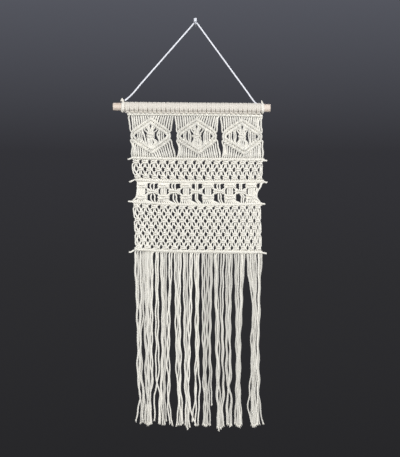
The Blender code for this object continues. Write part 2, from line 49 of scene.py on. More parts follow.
# Dowel and hook, as in part.py
GAP = 0.3                         # between neighbouring pieces
SHANK_RADIUS = 0.9
SHANK_AT_CORD = 1.0
DOWEL_RADIUS = 8.0
DOWEL_X = -7.3
DOWEL_Y = -14.0
DOWEL_Z = -172.4
DOWEL_TILT = math.radians(0.54)

# Cords
CORD = 3.0
HANGER = 3.2
HANGER_Y = -7.0
SLACK = 1.7                       # radius of a strand that nothing squeezes
FULL = 1.85                       # of a slack one that has fluffed up
FRINGE = 1.45                     # of one in the fringe
TIGHT = 1.45                      # radius of a strand in a knot
SQUEEZED = 1.4                    # and where it goes into a row of half hitches or comes out
CARRIER = 0.9                     # radius of a carrier cord under its hitches
PITCH = 9.5                       # along a cord, one full turn of its three plies
RELIEF = 0.05                     # how far a ply stands out, as a share of the radius
SAME_POINT = 0.05                 # points of a route that are closer than this count as one
CURVE_STEPS = 8                   # between two points of a route

# Ties: middle of the turns along x, their width, then the knot's x, its distance from the dowel's
# middle line and its turn backwards from straight up, and the x of the frayed end's tip
TIES = {
    "cord_tie_left": (-149.8, 8.0, -148.2, 10.8, -6.0, -152.0),
    "cord_tie_right": (139.6, 6.4, 139.2, 12.0, 38.0, 138.2),
}
TURN_SPACING = 2.9
TURN_RADIUS = 1.55
TURN_LIFT = 1.35                  # from the dowel's skin to the middle of the cord round it
TURN_STEPS = 14                   # points in one turn
TURN_START = 80.0                 # degrees up from the front
# The last turn's end goes back under the dowel: how far inwards, depth and drop from the dowel's
# middle line, radius
TURN_END = ((0.0, -5.5, 9.6, 1.3), (1.4, -2.0, 11.2, 1.2), (2.4, 2.0, 10.0, 1.2))
KNOT_RADIUS = 2.4
TREFOIL = 0.52                    # size of the overhand knot's loops
TREFOIL_STEPS = 24
FRAY_HEIGHT = 7.4
FRAY_LOW = 1.6                    # height of its outermost yarn
FRAY_WIDTH = 3.1
FRAY_YARNS = 9

# Heading
HEADING_LEFT = -145.4
HEADING_RIGHT = 136.0
LARKS_HEADS = 30
WRAP_THICK = 2.2                  # the cords lie flattened on the dowel
WRAP_LIFT = 1.1                   # from the dowel's skin to the middle of a cord
# Half a lark's head: how far it is from the knot's middle, turn round the dowel from straight down
# over the front, lift, share of the cord's slack, radius, share of the cord's unevenness
LARKS_HEAD = ((2.1, 20, 0.9, 0.0, 2.05, 0.0), (1.95, 48, 0.4, 0.0, 2.05, 0.0),
              (2.25, 80, 0.0, 0.5, 2.6, 1.0), (2.3, 130, 0.0, 0.5, 2.6, 1.0),
              (1.9, 178, 0.0, 1.0, 2.2, 0.0), (2.4, 225, 0.0, 0.0, 2.4, 0.0),
              (2.8, 270, 0.0, 0.0, 1.8, 0.0), (3.1, 315, 0.0, 0.0, 1.6, 0.0),
              (3.1, 345, 1.2, 0.0, 1.6, 0.0), (2.9, 370, 2.6, 0.0, 1.7, 0.0))

# Cloth, as in part.py
BAR_HALF_HEIGHT = 3.1
BAR_MARGIN = 0.4                  # strands end this far inside a bar, nets' points stay out by it
RIPPLE_DEPTH = 2.2
RIPPLE_X = 38.0
RIPPLE_Z = 120.0
RIPPLE_START = -190.0
RIPPLE_GROWTH = 250.0
BAR_X = (-132.0, -65.0, 0.0, 65.0, 135.0)
# Rows of half hitches: height at each of BAR_X, tip of the carrier's left and of its right end
BARS = {
    "top_bar": ((-186.3, -186.7, -187.3, -188.3, -190.0), None, None),
    "bar_a": ((-276.7, -278.9, -279.8, -280.2, -280.6), (-139.6, -279.8), (149.0, -283.1)),
    "bar_b": ((-321.9, -325.7, -327.3, -326.6, -325.4), (-136.7, -326.5), (149.4, -328.2)),
    "bar_c": ((-368.2, -372.9, -375.0, -374.6, -372.2), (-139.1, -367.6), (144.9, -372.9)),
    "bar_d": ((-466.2, -470.2, -471.4, -472.2, -472.9), (-137.1, -473.0), (147.9, -475.3)),
}
# Side edges of the cloth: height, left edge, right edge
EDGES = (
    (-185.0, -141.3, 139.3), (-219.0, -135.9, 138.4), (-235.0, -134.3, 138.0),
    (-246.0, -130.5, 139.5), (-263.0, -133.7, 142.4), (-278.0, -132.4, 143.0),
    (-290.0, -132.0, 140.6), (-313.0, -131.0, 139.6), (-325.0, -126.5, 142.5),
    (-331.0, -120.8, 141.0), (-343.0, -122.2, 133.6), (-353.0, -122.2, 127.0),
    (-363.0, -126.0, 131.4), (-372.0, -130.0, 138.4), (-380.0, -130.6, 137.2),
    (-397.0, -128.7, 136.6), (-428.0, -126.4, 137.6), (-458.0, -124.9, 138.3),
    (-480.0, -126.5, 138.6),
)
# The two slots between the panels: height, then both sides of the left and of the right slot
SLOTS = (
    (-185.0, -44.8, -43.4, 48.9, 50.3), (-194.5, -45.2, -43.2, 48.4, 51.1),
    (-215.2, -48.6, -39.8, 46.5, 54.6), (-231.8, -50.2, -37.8, 44.2, 56.2),
    (-241.2, -50.4, -35.3, 44.2, 58.3), (-256.7, -44.6, -35.7, 49.8, 57.3),
    (-274.4, -39.2, -36.7, 54.0, 56.5), (-285.0, -38.2, -36.7, 54.4, 56.4),
)
STRANDS = 60
SPREADS = ((-320.0, 0.10), (-375.0, 0.21))    # how far the strands crowd to the right, by height
TAIL = 1.75                       # radius of a carrier cord's thick end

# Half hitches: how far the turns stand from the carrier's middle, up and in depth
HITCH_RISE = 1.95
HITCH_DEPTH = 2.45
WRAP_RADIUS = 1.2
# After each eighth of a turn: share of the pitch it has moved along, share of the depth
HITCH_TURNS = ((-0.30, 0.5), (-0.29, 0.5), (-0.29, 0.6), (-0.28, 1.0), (-0.27, 1.0), (-0.25, 1.0),
               (-0.23, 1.0), (-0.20, 1.0), (-0.15, 1.0), (-0.10, 1.0), (-0.03, 1.0), (0.05, 1.0),
               (0.16, 1.0), (0.25, 1.0), (0.29, 1.0), (0.32, 1.0), (0.36, 1.0), (0.40, 1.0),
               (0.42, 0.9))

# A square knot's two working cords: across, up and depth as shares of its half sizes.
# The left one stays in front of the fillers. The right one goes behind them and comes back the
# same way, upside down.
KNOT_LEFT = ((-1.00, 1.25, 0.0), (-1.08, 0.88, -0.15), (-0.58, 0.70, -0.8), (0.0, 0.54, -1.0),
             (0.58, 0.40, -0.85), (1.00, 0.27, -0.3), (1.18, 0.04, 0.15), (1.00, -0.22, -0.2),
             (0.58, -0.38, -0.85), (0.0, -0.54, -1.0), (-0.58, -0.72, -0.8),
             (-1.08, -0.88, 0.15), (-1.00, -1.25, 0.0))
KNOT_RIGHT_TOP = ((1.00, 1.25, 0.0), (1.12, 0.85, -0.5), (1.02, 0.48, -1.05), (0.88, 0.2, -0.35),
                  (0.72, 0.14, 0.5), (0.42, 0.18, 0.95), (0.0, 0.22, 1.0), (-0.58, 0.2, 0.85),
                  (-1.08, 0.16, 0.1))
KNOT_RIGHT = (*KNOT_RIGHT_TOP, (-1.18, 0.0, -0.5),
              *((across, -up, depth) for across, up, depth in KNOT_RIGHT_TOP[::-1]))

# Diamonds: centre x, centre height, sideways lean of the top and of the bottom corner, and the
# first of the panel's strands
DIAMONDS = {
    "panel_left": (-92.7, -231.2, 0.0, 3.0, 0),
    "panel_middle": (3.1, -232.3, 0.0, 3.7, 20),
    "panel_right": (97.5, -233.3, -0.4, 4.8, 40),
}
# Long gap on each side of the centre knot: how far out it is at three heights over the middle,
# how far out the three cords between it and the side corner hang, and how much the hitches crowd
# towards the lower corner
GAP_HEIGHTS = (13.5, 2.0, -12.5)
GAPS = {
    ("panel_left", -1): ((14.6, 10.3, 7.9), (18.1, 22.4, 26.5), 1.36),
    ("panel_left", 1): ((15.5, 10.4, 16.0), (18.2, 22.4, 26.5), 1.0),
    ("panel_middle", -1): ((12.9, 9.2, 10.3), (16.9, 23.0, 26.8), 1.18),
    ("panel_middle", 1): ((15.2, 11.5, 12.6), (19.0, 22.8, 26.8), 1.3),
    ("panel_right", -1): ((12.5, 9.5, 11.2), (16.9, 23.0, 26.8), 1.06),
    ("panel_right", 1): ((12.1, 10.0, 13.1), (17.8, 22.2, 26.6), 1.3),
}
ROW_SLOPE = 0.67                  # fall of a diamond's hitched rows for each step outwards
ROW_BEND = (30.0, 3.0)            # past this reach they fall further, by this much at the end
OUTER_ROW = (35.4, 41.5)          # height of its middle line at the corner, reach to the side
INNER_ROW = (27.1, 35.0)
OUTER_ROW_SHORT = 0.965           # the outer row's hitches stop short of the side corner,
INNER_ROW_CROWDS = 0.12           # and the inner one's move a little towards the middle
DIAGONAL_RISE = 2.0               # as HITCH_RISE, HITCH_DEPTH and WRAP_RADIUS
DIAGONAL_DEPTH = 2.3
DIAGONAL_WRAP = 1.5
HITCHES = 9                       # in each row of each side
OUTER_STOPS = (0.04, 0.3, 0.6, 0.9)           # points of the carriers, as shares of a row
INNER_STOPS = (0.02, 0.3, 0.6, 0.86)
# Where the carriers turn at the side corners: height over the middle, way out, depth, radius
OUTER_TURN = ((4.2, 38.918, -0.8, 2.4), (0.0, 39.8, -0.8, 2.4), (-4.2, 38.918, -0.8, 2.4))
INNER_TURN = ((3.0, 34.2, -0.5, 2.2), (0.0, 34.9, -0.7, 2.6), (-3.0, 34.2, -0.5, 2.2))
LAST_STRAND_APART = 1.9           # at the right edge of the right panel
EDGE_SPACING = 3.5                # between the strands that the panel's outline holds in
# Points of a strand between a bar and the diamond: share of the way, radius. The outermost strand
# has all three at the top, the others the last two.
TOP_FAN = ((0.12, FULL), (0.3, FULL), (0.6, FULL))
BOTTOM_FAN = ((0.4, SLACK), (0.75, 2.1))
# The three inner strands on each side of the centre knot: x and height of their start, x over the
# knot, x in its waist, depth, and x in the trunk under it as a share of the trunk's half width
CENTRE_STRANDS = ((3.3, 21.3, 1.6, 1.2, -1.6, 0.22), (4.8, 19.0, 4.2, 3.9, -0.8, 0.62),
                  (8.0, 16.5, 6.9, 2.6, 1.6, 0.86))
CENTRE_KNOT = (5.0, 3.3)          # half its height, depth
TRUNK_INSET = 2.2                 # from the long gap to the trunk's outermost strand

# Nets
UPPER_NET_ROWS = (-286.8, -302.4, -318.0)
LOWER_NET_ROWS = (-380.8, -394.8, -408.4, -422.2, -436.2, -450.0, -463.6)
NET_REACH = 1.08                  # half a knot's width, in strands
NET_DEPTH = 2.7                   # how far its cords stand out in front and behind
NET_KNOT = 0.245                  # half a knot's height, as a share of the rows' spacing
# The two strands in a knot's middle: height as a share of the spacing, how far apart, radius
NET_LANE = ((0.3, 3.0, 1.4), (0.0, 3.1, 1.45), (-0.3, 3.0, 1.4))
# Between two rows the inner strand of a pair hangs nearly straight down from its knot: share of
# the spacing and distance from the knot's middle. The outer one mirrors it from the knot below.
NET_FALL = ((0.45, 1.5), (0.66, 1.9))
NET_FALL_RADIUS = 1.5
ENTRY_OUT = 0.9                   # where a working cord comes to its knot and leaves it
ENTRY_UP = 0.95
TIGHTER = 0.5                     # how much thicker the cords are where the net closes up,
CLOSING_X = ((85.0, 115.0), (0.0, 1.0))       # towards its lower left corner
CLOSING_Z = ((400.0, 455.0), (0.0, 1.0))
NET_EDGE = (1.7, 3.1)             # the two strands that pass a row at the side: inset, spacing
NET_FOLLOWS = 0.6                 # how far the rows follow the bars' sag

# Openwork band
BAND_ROWS = (-335.6, -347.0, -358.6)
BAND_KNOTS = (-110.2, -65.8, -19.1, 26.6, 72.2, 116.0)      # x in the first and last row
BAND_KNOT_HALF = (11.0, 12.2, 12.0, 12.2, 12.2, 11.6)
BAND_GROUPS = (-88.4, -43.2, 2.7, 49.8, 94.2)               # the smaller knots of the middle row
BAND_GROUP_HALF = 11.8
BAND_DEPTH = 2.9                  # how far the knots' cords stand out in front and behind
BAND_TALL = (3.9, 3.6, 4.6)       # half a knot's height, row by row
# Two loose strands in each open place: how far right of its middle they hang, in the first row
# and in the last
BAND_LOOSE = (((-5.0, 2.7), (-3.9, 4.7)), ((-5.4, 1.2), (-2.4, 4.4)), ((-1.8, 1.8), (-1.9, 1.6)),
              ((-4.6, 1.0), (-1.5, 4.1)), ((-1.7, 1.8), (2.8, 7.4)))

# Fringe, lock by lock: its two sides at each height, then the tip of each of its strands
LOCKS = (
    (((-480.9, -125.8, -106.7), (-559.8, -123.9, -106.3), (-603.3, -121.8, -106.3),
      (-644.9, -120.6, -110.6), (-676.0, -121.0, -111.0), (-707.1, -121.0, -109.8),
      (-738.3, -120.4, -108.5), (-769.4, -118.1, -103.4), (-800.5, -117.9, -103.4)),
     ((-122.2, -824.8), (-112.9, -829.4), (-108.5, -827.5), (-104.8, -823.4))),
    (((-480.9, -105.6, -87.0), (-559.8, -105.4, -87.8), (-603.3, -103.4, -87.4),
      (-644.9, -107.1, -88.4), (-676.0, -104.6, -87.2), (-738.3, -104.6, -87.2),
      (-769.4, -102.1, -90.7), (-800.5, -102.5, -91.1)),
     ((-103.4, -828.5), (-100.2, -831.7), (-98.0, -832.7), (-95.5, -831.7), (-93.2, -830.8),
      (-90.9, -829.6))),
    (((-480.9, -81.2, -81.2), (-644.9, -81.4, -81.4), (-707.1, -81.2, -81.2),
      (-734.1, -80.1, -80.1), (-750.7, -78.2, -78.2), (-769.4, -73.7, -73.7),
      (-800.5, -74.3, -74.3)),
     ((-75.1, -829.6),)),
    (((-480.9, -77.8, -77.8), (-644.9, -76.8, -76.8), (-707.1, -75.5, -75.5),
      (-734.1, -76.4, -76.4), (-750.7, -79.1, -79.1), (-769.4, -85.3, -85.3),
      (-800.5, -84.3, -84.3)),
     ((-84.1, -823.4),)),
    (((-480.9, -73.1, -58.7), (-561.8, -70.8, -58.7), (-603.3, -69.3, -58.5),
      (-644.9, -70.8, -58.9), (-707.1, -70.8, -60.0), (-738.3, -72.4, -60.6),
      (-769.4, -74.7, -61.6), (-800.5, -73.9, -61.0)),
     ((-72.6, -829.4), (-67.7, -831.7), (-63.5, -830.6), (-60.4, -824.8))),
    (((-480.9, -55.2, -47.3), (-561.8, -55.6, -50.2), (-603.3, -57.9, -51.5),
      (-644.9, -58.5, -52.1), (-707.1, -59.2, -52.7), (-738.3, -58.5, -51.5),
      (-769.4, -58.9, -52.5), (-800.5, -57.5, -51.1)),
     ((-52.9, -829.4), (-47.7, -833.7))),
    (((-480.9, -44.0, -28.4), (-561.8, -42.8, -29.9), (-603.3, -41.9, -30.7),
      (-644.9, -41.9, -29.3), (-738.3, -39.6, -28.4), (-769.4, -37.4, -27.6),
      (-800.5, -35.9, -26.2)),
     ((-38.0, -833.7), (-33.8, -832.7), (-29.5, -831.7), (-26.2, -829.4))),
    (((-480.9, -25.5, -15.2), (-561.8, -24.7, -14.3), (-644.9, -24.1, -15.4),
      (-738.3, -22.4, -16.0), (-769.4, -21.2, -15.6), (-800.5, -21.4, -15.4)),
     ((-20.3, -832.3), (-17.8, -836.6), (-15.8, -841.2))),
    (((-480.9, -12.0, -5.4), (-561.8, -12.7, -6.2), (-644.9, -15.4, -9.1), (-738.3, -17.0, -11.4),
      (-769.4, -16.6, -11.4), (-792.2, -15.4, -9.5)),
     ((-12.0, -835.8), (0.4, -833.7))),
    (((-480.9, -2.9, 4.2), (-561.8, 0.0, 5.8), (-644.9, -0.6, 5.8), (-700.9, -0.4, 5.0),
      (-738.3, -1.5, 3.3), (-769.4, -2.9, 2.9), (-800.5, -4.4, 2.5)),
     ((-5.8, -824.8), (0.0, -833.7))),
    (((-480.9, 7.1, 7.1), (-561.8, 6.2, 6.2), (-644.9, 6.4, 6.4), (-700.9, 6.6, 6.6),
      (-738.3, 8.9, 8.9), (-769.4, 8.3, 8.3), (-800.5, 7.7, 7.7)),
     ((5.8, -832.9),)),
    (((-480.9, 12.9, 29.9), (-561.8, 13.5, 28.6), (-644.9, 14.1, 26.6), (-686.4, 15.6, 24.9),
      (-738.3, 15.6, 23.7), (-769.4, 17.0, 26.6), (-800.5, 16.4, 26.6)),
     ((17.0, -831.7), (19.7, -835.2), (23.0, -834.4), (26.2, -832.5))),
    (((-480.9, 30.5, 36.3), (-561.8, 29.5, 34.9), (-644.9, 27.4, 32.6), (-686.4, 28.2, 33.2),
      (-738.3, 27.2, 34.5), (-769.4, 27.4, 35.3)),
     ((30.5, -833.7), (34.0, -792.2))),
    (((-480.9, 38.6, 49.0), (-561.8, 40.1, 47.9), (-644.9, 41.5, 51.5), (-738.3, 43.0, 51.9),
      (-769.4, 43.8, 52.7), (-800.5, 44.4, 52.7)),
     ((46.1, -838.9), (49.0, -844.9), (52.3, -841.0))),
    (((-480.9, 52.1, 60.8), (-561.8, 50.6, 58.5), (-644.9, 53.3, 58.7), (-738.3, 56.0, 61.0),
      (-769.4, 54.8, 60.2), (-800.5, 52.7, 58.5)),
     ((55.6, -837.9), (58.5, -835.2))),
    (((-480.9, 63.1, 70.2), (-603.3, 62.3, 68.5), (-644.9, 63.1, 68.5), (-707.1, 62.1, 67.2),
      (-738.3, 64.3, 70.2), (-754.9, 67.9, 73.5), (-769.4, 71.8, 76.4), (-800.5, 71.0, 76.4)),
     ((72.6, -835.8), (75.1, -833.7))),
    (((-480.9, 70.8, 77.8), (-603.3, 68.7, 74.9), (-644.9, 68.7, 74.1), (-707.1, 70.6, 75.5),
      (-738.3, 69.7, 74.7), (-754.9, 66.0, 71.4), (-769.4, 63.9, 69.3), (-800.5, 64.1, 69.5)),
     ((66.0, -830.8), (68.7, -833.3))),
    (((-480.9, 80.7, 91.1), (-572.2, 82.6, 90.5), (-603.3, 83.0, 90.5), (-644.9, 83.9, 90.1),
      (-707.1, 83.9, 89.2), (-769.4, 83.9, 89.2), (-794.3, 81.2, 88.8)),
     ((82.4, -830.8), (85.3, -834.1), (88.2, -836.2))),
    (((-480.9, 93.0, 103.2), (-572.2, 92.2, 98.8), (-603.3, 90.7, 97.1), (-644.9, 89.7, 95.7),
      (-707.1, 89.0, 94.2), (-769.4, 89.0, 94.9), (-794.3, 89.0, 95.7)),
     ((91.5, -837.9), (93.8, -835.0), (96.1, -831.7))),
    (((-480.9, 107.7, 107.7), (-520.3, 110.0, 110.0), (-561.8, 117.9, 117.9),
      (-603.3, 119.3, 119.3), (-644.9, 116.6, 116.6), (-707.1, 116.2, 116.2),
      (-738.3, 115.0, 115.0), (-769.4, 112.7, 112.7), (-786.0, 109.0, 109.0),
      (-798.4, 107.5, 107.5), (-810.9, 110.0, 110.0)),
     ((115.4, -827.5),)),
    (((-480.9, 109.4, 127.2), (-520.3, 111.7, 127.6), (-561.8, 119.1, 127.6),
      (-603.3, 120.0, 127.9), (-644.9, 117.5, 126.6), (-707.1, 117.1, 126.2),
      (-738.3, 116.2, 127.0), (-769.4, 115.0, 126.2), (-800.5, 115.2, 126.6)),
     ((117.1, -832.9), (119.8, -837.5), (122.5, -835.8), (124.7, -835.0), (127.0, -832.5))),
    (((-480.9, 129.9, 139.5), (-520.3, 129.9, 136.4), (-561.8, 129.5, 135.3),
      (-603.3, 129.1, 134.5), (-644.9, 127.4, 133.5), (-707.1, 126.8, 132.6),
      (-738.3, 127.9, 134.9), (-769.4, 127.0, 133.7), (-800.5, 127.9, 135.7)),
     ((129.5, -833.3), (133.0, -831.7), (140.1, -830.8))),
)
LOCK_STEP = 8.0                   # between the points of a strand
WAVES = (7.5, 16.0)               # heights over which the sideways waves turn by one radian,
WANDERS = (23.0, 57.0)            # those of the wander between the lock's other strands,
DEPTH_WAVE = 19.0                 # and that of the wave in depth
LOOSENS = 300.0                   # the strands wander more, down to this far under the bar
SPLAY_HEIGHT = 48.0               # over which they turn towards their tips
CUT = 5.5                         # length of a tip's loose yarns
FLUFF = (0.3, 90.0)               # how much thicker a strand is at the top, and how soon that ends
LEFT_FLUFF = (0.8, 160.0)         # the same for the fuller locks on the left,
LEFT_FLUFF_X = (-84.0, 14.0)      # which start here and are full this much further left


# ---------------------------------------------------------------- camera

def add_camera():
    camera = bpy.data.objects.new("camera", bpy.data.cameras.new("camera"))
    camera.data.sensor_width = SENSOR
    camera.data.lens = SENSOR * CAMERA_REACH / FRAME_HEIGHT
    camera.location = (FRAME_MIDDLE[0] * MM, (DOWEL_Y - CAMERA_REACH) * MM, FRAME_MIDDLE[1] * MM)
    camera.rotation_euler = (math.radians(90.0), 0.0, 0.0)
    bpy.context.scene.collection.objects.link(camera)
    bpy.context.scene.camera = camera


# ---------------------------------------------------------------- measures

def between(rows, height, column):
    """A column of a table, whose first column is a falling height, read at one height."""
    return float(np.interp(-height, [-row[0] for row in rows], [row[column] for row in rows]))


def left_edge(z):
    return between(EDGES, z, 1)


def right_edge(z):
    return between(EDGES, z, 2)


def dowel_z(x):
    return DOWEL_Z - (x - DOWEL_X) * math.tan(DOWEL_TILT)


def bar_z(name, x):
    return float(np.interp(x, BAR_X, BARS[name][0]))


def fabric_y(x, z):
    """Depth of the cloth's middle surface, for numbers or for arrays."""
    hang = np.clip((RIPPLE_START - z) / RIPPLE_GROWTH, 0.0, 1.0)
    return DOWEL_Y + RIPPLE_DEPTH * hang * np.sin(x / RIPPLE_X + z / RIPPLE_Z)


def strand_x(place, z):
    """Where a place, counted from 0 at the left edge to 60 at the right edge, hangs at a height."""
    share = place / STRANDS
    share += between(SPREADS, z, 1) * share * share * (1.0 - share)
    return left_edge(z) + (right_edge(z) - left_edge(z)) * share


def bar_strand(name, strand):
    """The middle of a strand's half hitches on a bar: x and height."""
    x = strand_x(strand + 0.5, BARS[name][0][2])
    return x, bar_z(name, x)


def bar_pitch(name):
    z = BARS[name][0][2]
    return (right_edge(z) - left_edge(z)) / STRANDS


def enters(name, strand):
    """Where a strand reaches a bar from above."""
    x, z = bar_strand(name, strand)
    return (x - 0.3 * bar_pitch(name), 1.1, z + BAR_HALF_HEIGHT - BAR_MARGIN)


def leaves(name, strand):
    """Where a strand comes out under a bar."""
    x, z = bar_strand(name, strand)
    return (x + 0.42 * bar_pitch(name), 1.2, z - BAR_HALF_HEIGHT + BAR_MARGIN)


# ---------------------------------------------------------------- cords

def flowing(points, step):
    """Evenly spaced points along a smooth curve through the given ones, with their radii."""
    knots = np.array(points, float)
    gaps = np.linalg.norm(np.diff(knots[:, :3], axis=0), axis=1)
    keep = np.concatenate([[True], gaps > SAME_POINT])
    knots = knots[keep]
    gaps = np.linalg.norm(np.diff(knots[:, :3], axis=0), axis=1)[:, None]
    slopes = np.diff(knots, axis=0) / gaps
    tangents = np.vstack([slopes[:1], (slopes[:-1] * gaps[1:] + slopes[1:] * gaps[:-1])
                          / (gaps[1:] + gaps[:-1]), slopes[-1:]])
    t = np.linspace(0.0, 1.0, CURVE_STEPS, endpoint=False)[None, :, None]
    start, stop = knots[:-1, None], knots[1:, None]
    span = gaps[:, :, None]
    curve = ((2 * t ** 3 - 3 * t ** 2 + 1) * start + (t ** 3 - 2 * t ** 2 + t) * span
             * tangents[:-1, None] + (3 * t ** 2 - 2 * t ** 3) * stop
             + (t ** 3 - t ** 2) * span * tangents[1:, None])
    curve = np.vstack([curve.reshape(-1, 4), knots[-1:]])
    run = np.concatenate([[0.0], np.cumsum(np.linalg.norm(np.diff(curve[:, :3], axis=0), axis=1))])
    count = max(3, int(round(run[-1] / step)) + 1)
    at = np.linspace(0.0, run[-1], count)
    return np.stack([np.interp(at, run, curve[:, i]) for i in range(4)], axis=1)


def across(line):
    """Two directions across a line at each of its points, turning no more than they must."""
    ahead = np.gradient(line, axis=0)
    ahead /= np.linalg.norm(ahead, axis=1)[:, None]
    side = np.cross(ahead[0], (0.0, 1.0, 0.0) if abs(ahead[0][1]) < 0.8 else (1.0, 0.0, 0.0))
    sides = np.empty_like(line)
    for i, direction in enumerate(ahead):
        side = side - side.dot(direction) * direction
        side = side / math.sqrt(side.dot(side))
        sides[i] = side
    return sides, np.cross(ahead, sides)


class Weave:
    """The cords of one piece, gathered into one mesh."""

    def __init__(self, sides=6):
        self.sides = sides
        self.vertices, self.faces, self.plies, self.tints, self.spots = [], [], [], [], []
        self.count = 0
        self.length = 0.0

    def cord(self, points, on_cloth=True, tint=None):
        """One cord along its points (x, depth, z and radius); returns its middle line."""
        sides = self.sides
        rings = flowing(points, PITCH / sides)
        if on_cloth:
            rings[:, 1] += fabric_y(rings[:, 0], rings[:, 2])
        line, radius = rings[:, :3], rings[:, 3]
        count = len(line)
        one, other = across(line)
        spin = int(CHANCE.integers(sides))
        number = np.arange(count)[:, None]
        corner = np.arange(sides)[None, :]
        ply = np.cos(6 * math.pi * (corner - number - spin) / sides)
        reach = radius[:, None] * (1.0 + RELIEF * ply)
        turn = 2 * math.pi * corner / sides
        rim = (line[:, None] + (reach * np.cos(turn))[:, :, None] * one[:, None]
               + (reach * np.sin(turn))[:, :, None] * other[:, None])
        after = (corner + 1) % sides
        base = number[:-1] * sides
        low, low_after = base + corner, base + after
        high, high_after = low + sides, low_after + sides
        skin = np.stack([low, low_after, high_after, low, high_after, high], axis=2)
        wide = math.pi * CORD / sides
        girth, run = np.broadcast_arrays(corner * wide, number[:-1] * PITCH / sides)
        u0, u1, v0, v1 = girth, girth + wide, run, run + PITCH / sides
        spots = np.stack([u0, v0, u1, v0, u1, v1, u0, v0, u1, v1, u0, v1], axis=2)
        on_rim = count * sides
        caps = []
        for ring, centre, flip in ((0, on_rim, False), (count - 1, on_rim + 1, True)):
            a = ring * sides + corner[0]
            b = ring * sides + after[0]
            middle = np.full(sides, centre)
            caps.append(np.stack([middle, a, b] if flip else [middle, b, a], axis=1))
        self.vertices.append(np.vstack([rim.reshape(-1, 3), line[:1], line[-1:]]))
        self.faces.append(np.vstack([skin.reshape(-1, 3), *caps]) + self.count)
        self.plies.append(np.concatenate([(0.5 + 0.5 * ply).ravel(), [0.5, 0.5]]))
        self.tints.append(np.full(on_rim + 2, CHANCE.random() if tint is None else tint))
        self.spots.append(np.concatenate([spots.reshape(-1, 2), np.zeros((6 * sides, 2))]))
        self.count += on_rim + 2
        self.length += float(np.linalg.norm(np.diff(line, axis=0), axis=1).sum())
        return line

    def frayed(self, end, towards, reach, spread, radius, yarns):
        """Loose yarns that fan out where a cord is cut."""
        end, towards = np.array(end, float), np.array(towards, float)
        towards /= np.linalg.norm(towards)
        one = np.cross(towards, (0.0, 1.0, 0.0))
        one /= np.linalg.norm(one)
        other = np.cross(towards, one)
        start_turn = CHANCE.random() * 2 * math.pi
        for yarn in range(yarns):
            turn = start_turn + 2 * math.pi * yarn / yarns
            out = math.cos(turn) * one + math.sin(turn) * other
            length = reach * (0.75 + 0.5 * CHANCE.random())
            lift = spread * (0.6 + 0.8 * CHANCE.random())
            route = []
            for ahead, opened, thick in ((-1.5, 0.0, 1.0), (0.5 * length, 0.35, 1.0),
                                         (length, 1.0, 0.55)):
                point = end + towards * ahead + out * (radius * 0.8 + lift * opened)
                route.append((*point, radius * thick))
            self.cord(route, tint=0.95)

    def press_on_dowel(self):
        """Flattens the cords on the dowel, fully over its top and front and less underneath."""
        skin = DOWEL_RADIUS + 0.1
        for part in self.vertices:
            drop = part[:, 2] - dowel_z(part[:, 0])
            out = np.hypot(part[:, 1] - DOWEL_Y, drop)
            clear = np.maximum(out, skin)
            flat = skin + WRAP_THICK * np.tanh((clear - skin) / WRAP_THICK)
            share = np.clip((drop + 7.0) / 4.0, 0.0, 1.0)
            push = (clear + (flat - clear) * share) / out
            part[:, 1] = DOWEL_Y + (part[:, 1] - DOWEL_Y) * push
            part[:, 2] += drop * (push - 1.0)

    def piece(self, name, node, material):
        """The finished object, which replaces its CAD node."""
        mesh = bpy.data.meshes.new(name)
        mesh.from_pydata(np.vstack(self.vertices) * MM, [], np.vstack(self.faces))
        for label, values in (("ply", self.plies), ("tint", self.tints)):
            layer = mesh.attributes.new(label, "FLOAT", "POINT")
            layer.data.foreach_set("value", np.concatenate(values).astype(np.float32))
        spots = mesh.uv_layers.new(name="cord")
        spots.uv.foreach_set("vector", np.vstack(self.spots).astype(np.float32).ravel())
        mesh.shade_smooth()
        mesh.materials.append(material)
        thing = bpy.data.objects.new(name, mesh)
        bpy.context.scene.collection.objects.link(thing)
        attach(thing, "root")
        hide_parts(node)
        return thing


def square_knot(centre, half_width, half_height, depth, side, radius):
    """The way of the working cord that comes from one side through a square knot."""
    x, z = centre
    shape = KNOT_LEFT if side < 0 else KNOT_RIGHT
    return [(x + a * half_width, c * depth, z + b * half_height, radius) for a, b, c in shape]


def hitch(x, z, angle, pitch, way, rise=HITCH_RISE, depth=HITCH_DEPTH, radius=WRAP_RADIUS):
    """A double half hitch on a carrier that runs at an angle through (x, z)."""
    along = (math.cos(angle), math.sin(angle))
    up = (-math.sin(angle), math.cos(angle))
    points = []
    for number, (moved, share) in enumerate(HITCH_TURNS, 1):
        turn = math.radians(45 * number)
        shift = way * moved * pitch
        lift = rise * math.cos(turn)
        back = depth * share * math.sin(turn)
        points.append((x + along[0] * shift + up[0] * lift, back,
                       z + along[1] * shift + up[1] * lift, radius))
    return points


# ---------------------------------------------------------------- materials

def grey(value):
    return (value,) * 3


WHITE = grey(1.0)
# Kinds of cotton: its lighter and warmer colour, the colour of the painted shade in the grooves
# between its plies, its sheen's tint
CREAM = ((0.90, 0.885, 0.82), (0.87, 0.845, 0.77), (0.86, 0.84, 0.80), (1.0, 0.98, 0.94))
COOL = ((0.88, 0.89, 0.93), (0.84, 0.85, 0.90), (0.84, 0.85, 0.88), (0.97, 0.98, 1.0))
TIED = ((0.84, 0.81, 0.745), (0.81, 0.775, 0.70), (0.86, 0.84, 0.80), (1.0, 0.98, 0.94))
# The heading's cotton is the same cord set darker, with a slightly warmer tone: painted shade over
# the heading
WRAPPED_SHADED = ((0.72, 0.69, 0.625), (0.70, 0.66, 0.60), (0.86, 0.83, 0.77), (1.0, 0.98, 0.94))
# How the strands of a piece differ in brightness
EVEN = ((0.0, grey(0.97)), (1.0, WHITE))
MIXED = ((0.0, grey(0.76)), (0.5, grey(0.86)), (1.0, grey(0.96)))
# The fringe's strands: a random tone per strand, set mostly darker than the rest of the cloth as
# painted shade for strands that hang in shade
LOOSE_ENDS_SHADED = ((0.0, grey(0.66)), (0.55, grey(0.78)), (0.8, grey(0.96)), (1.0, WHITE))


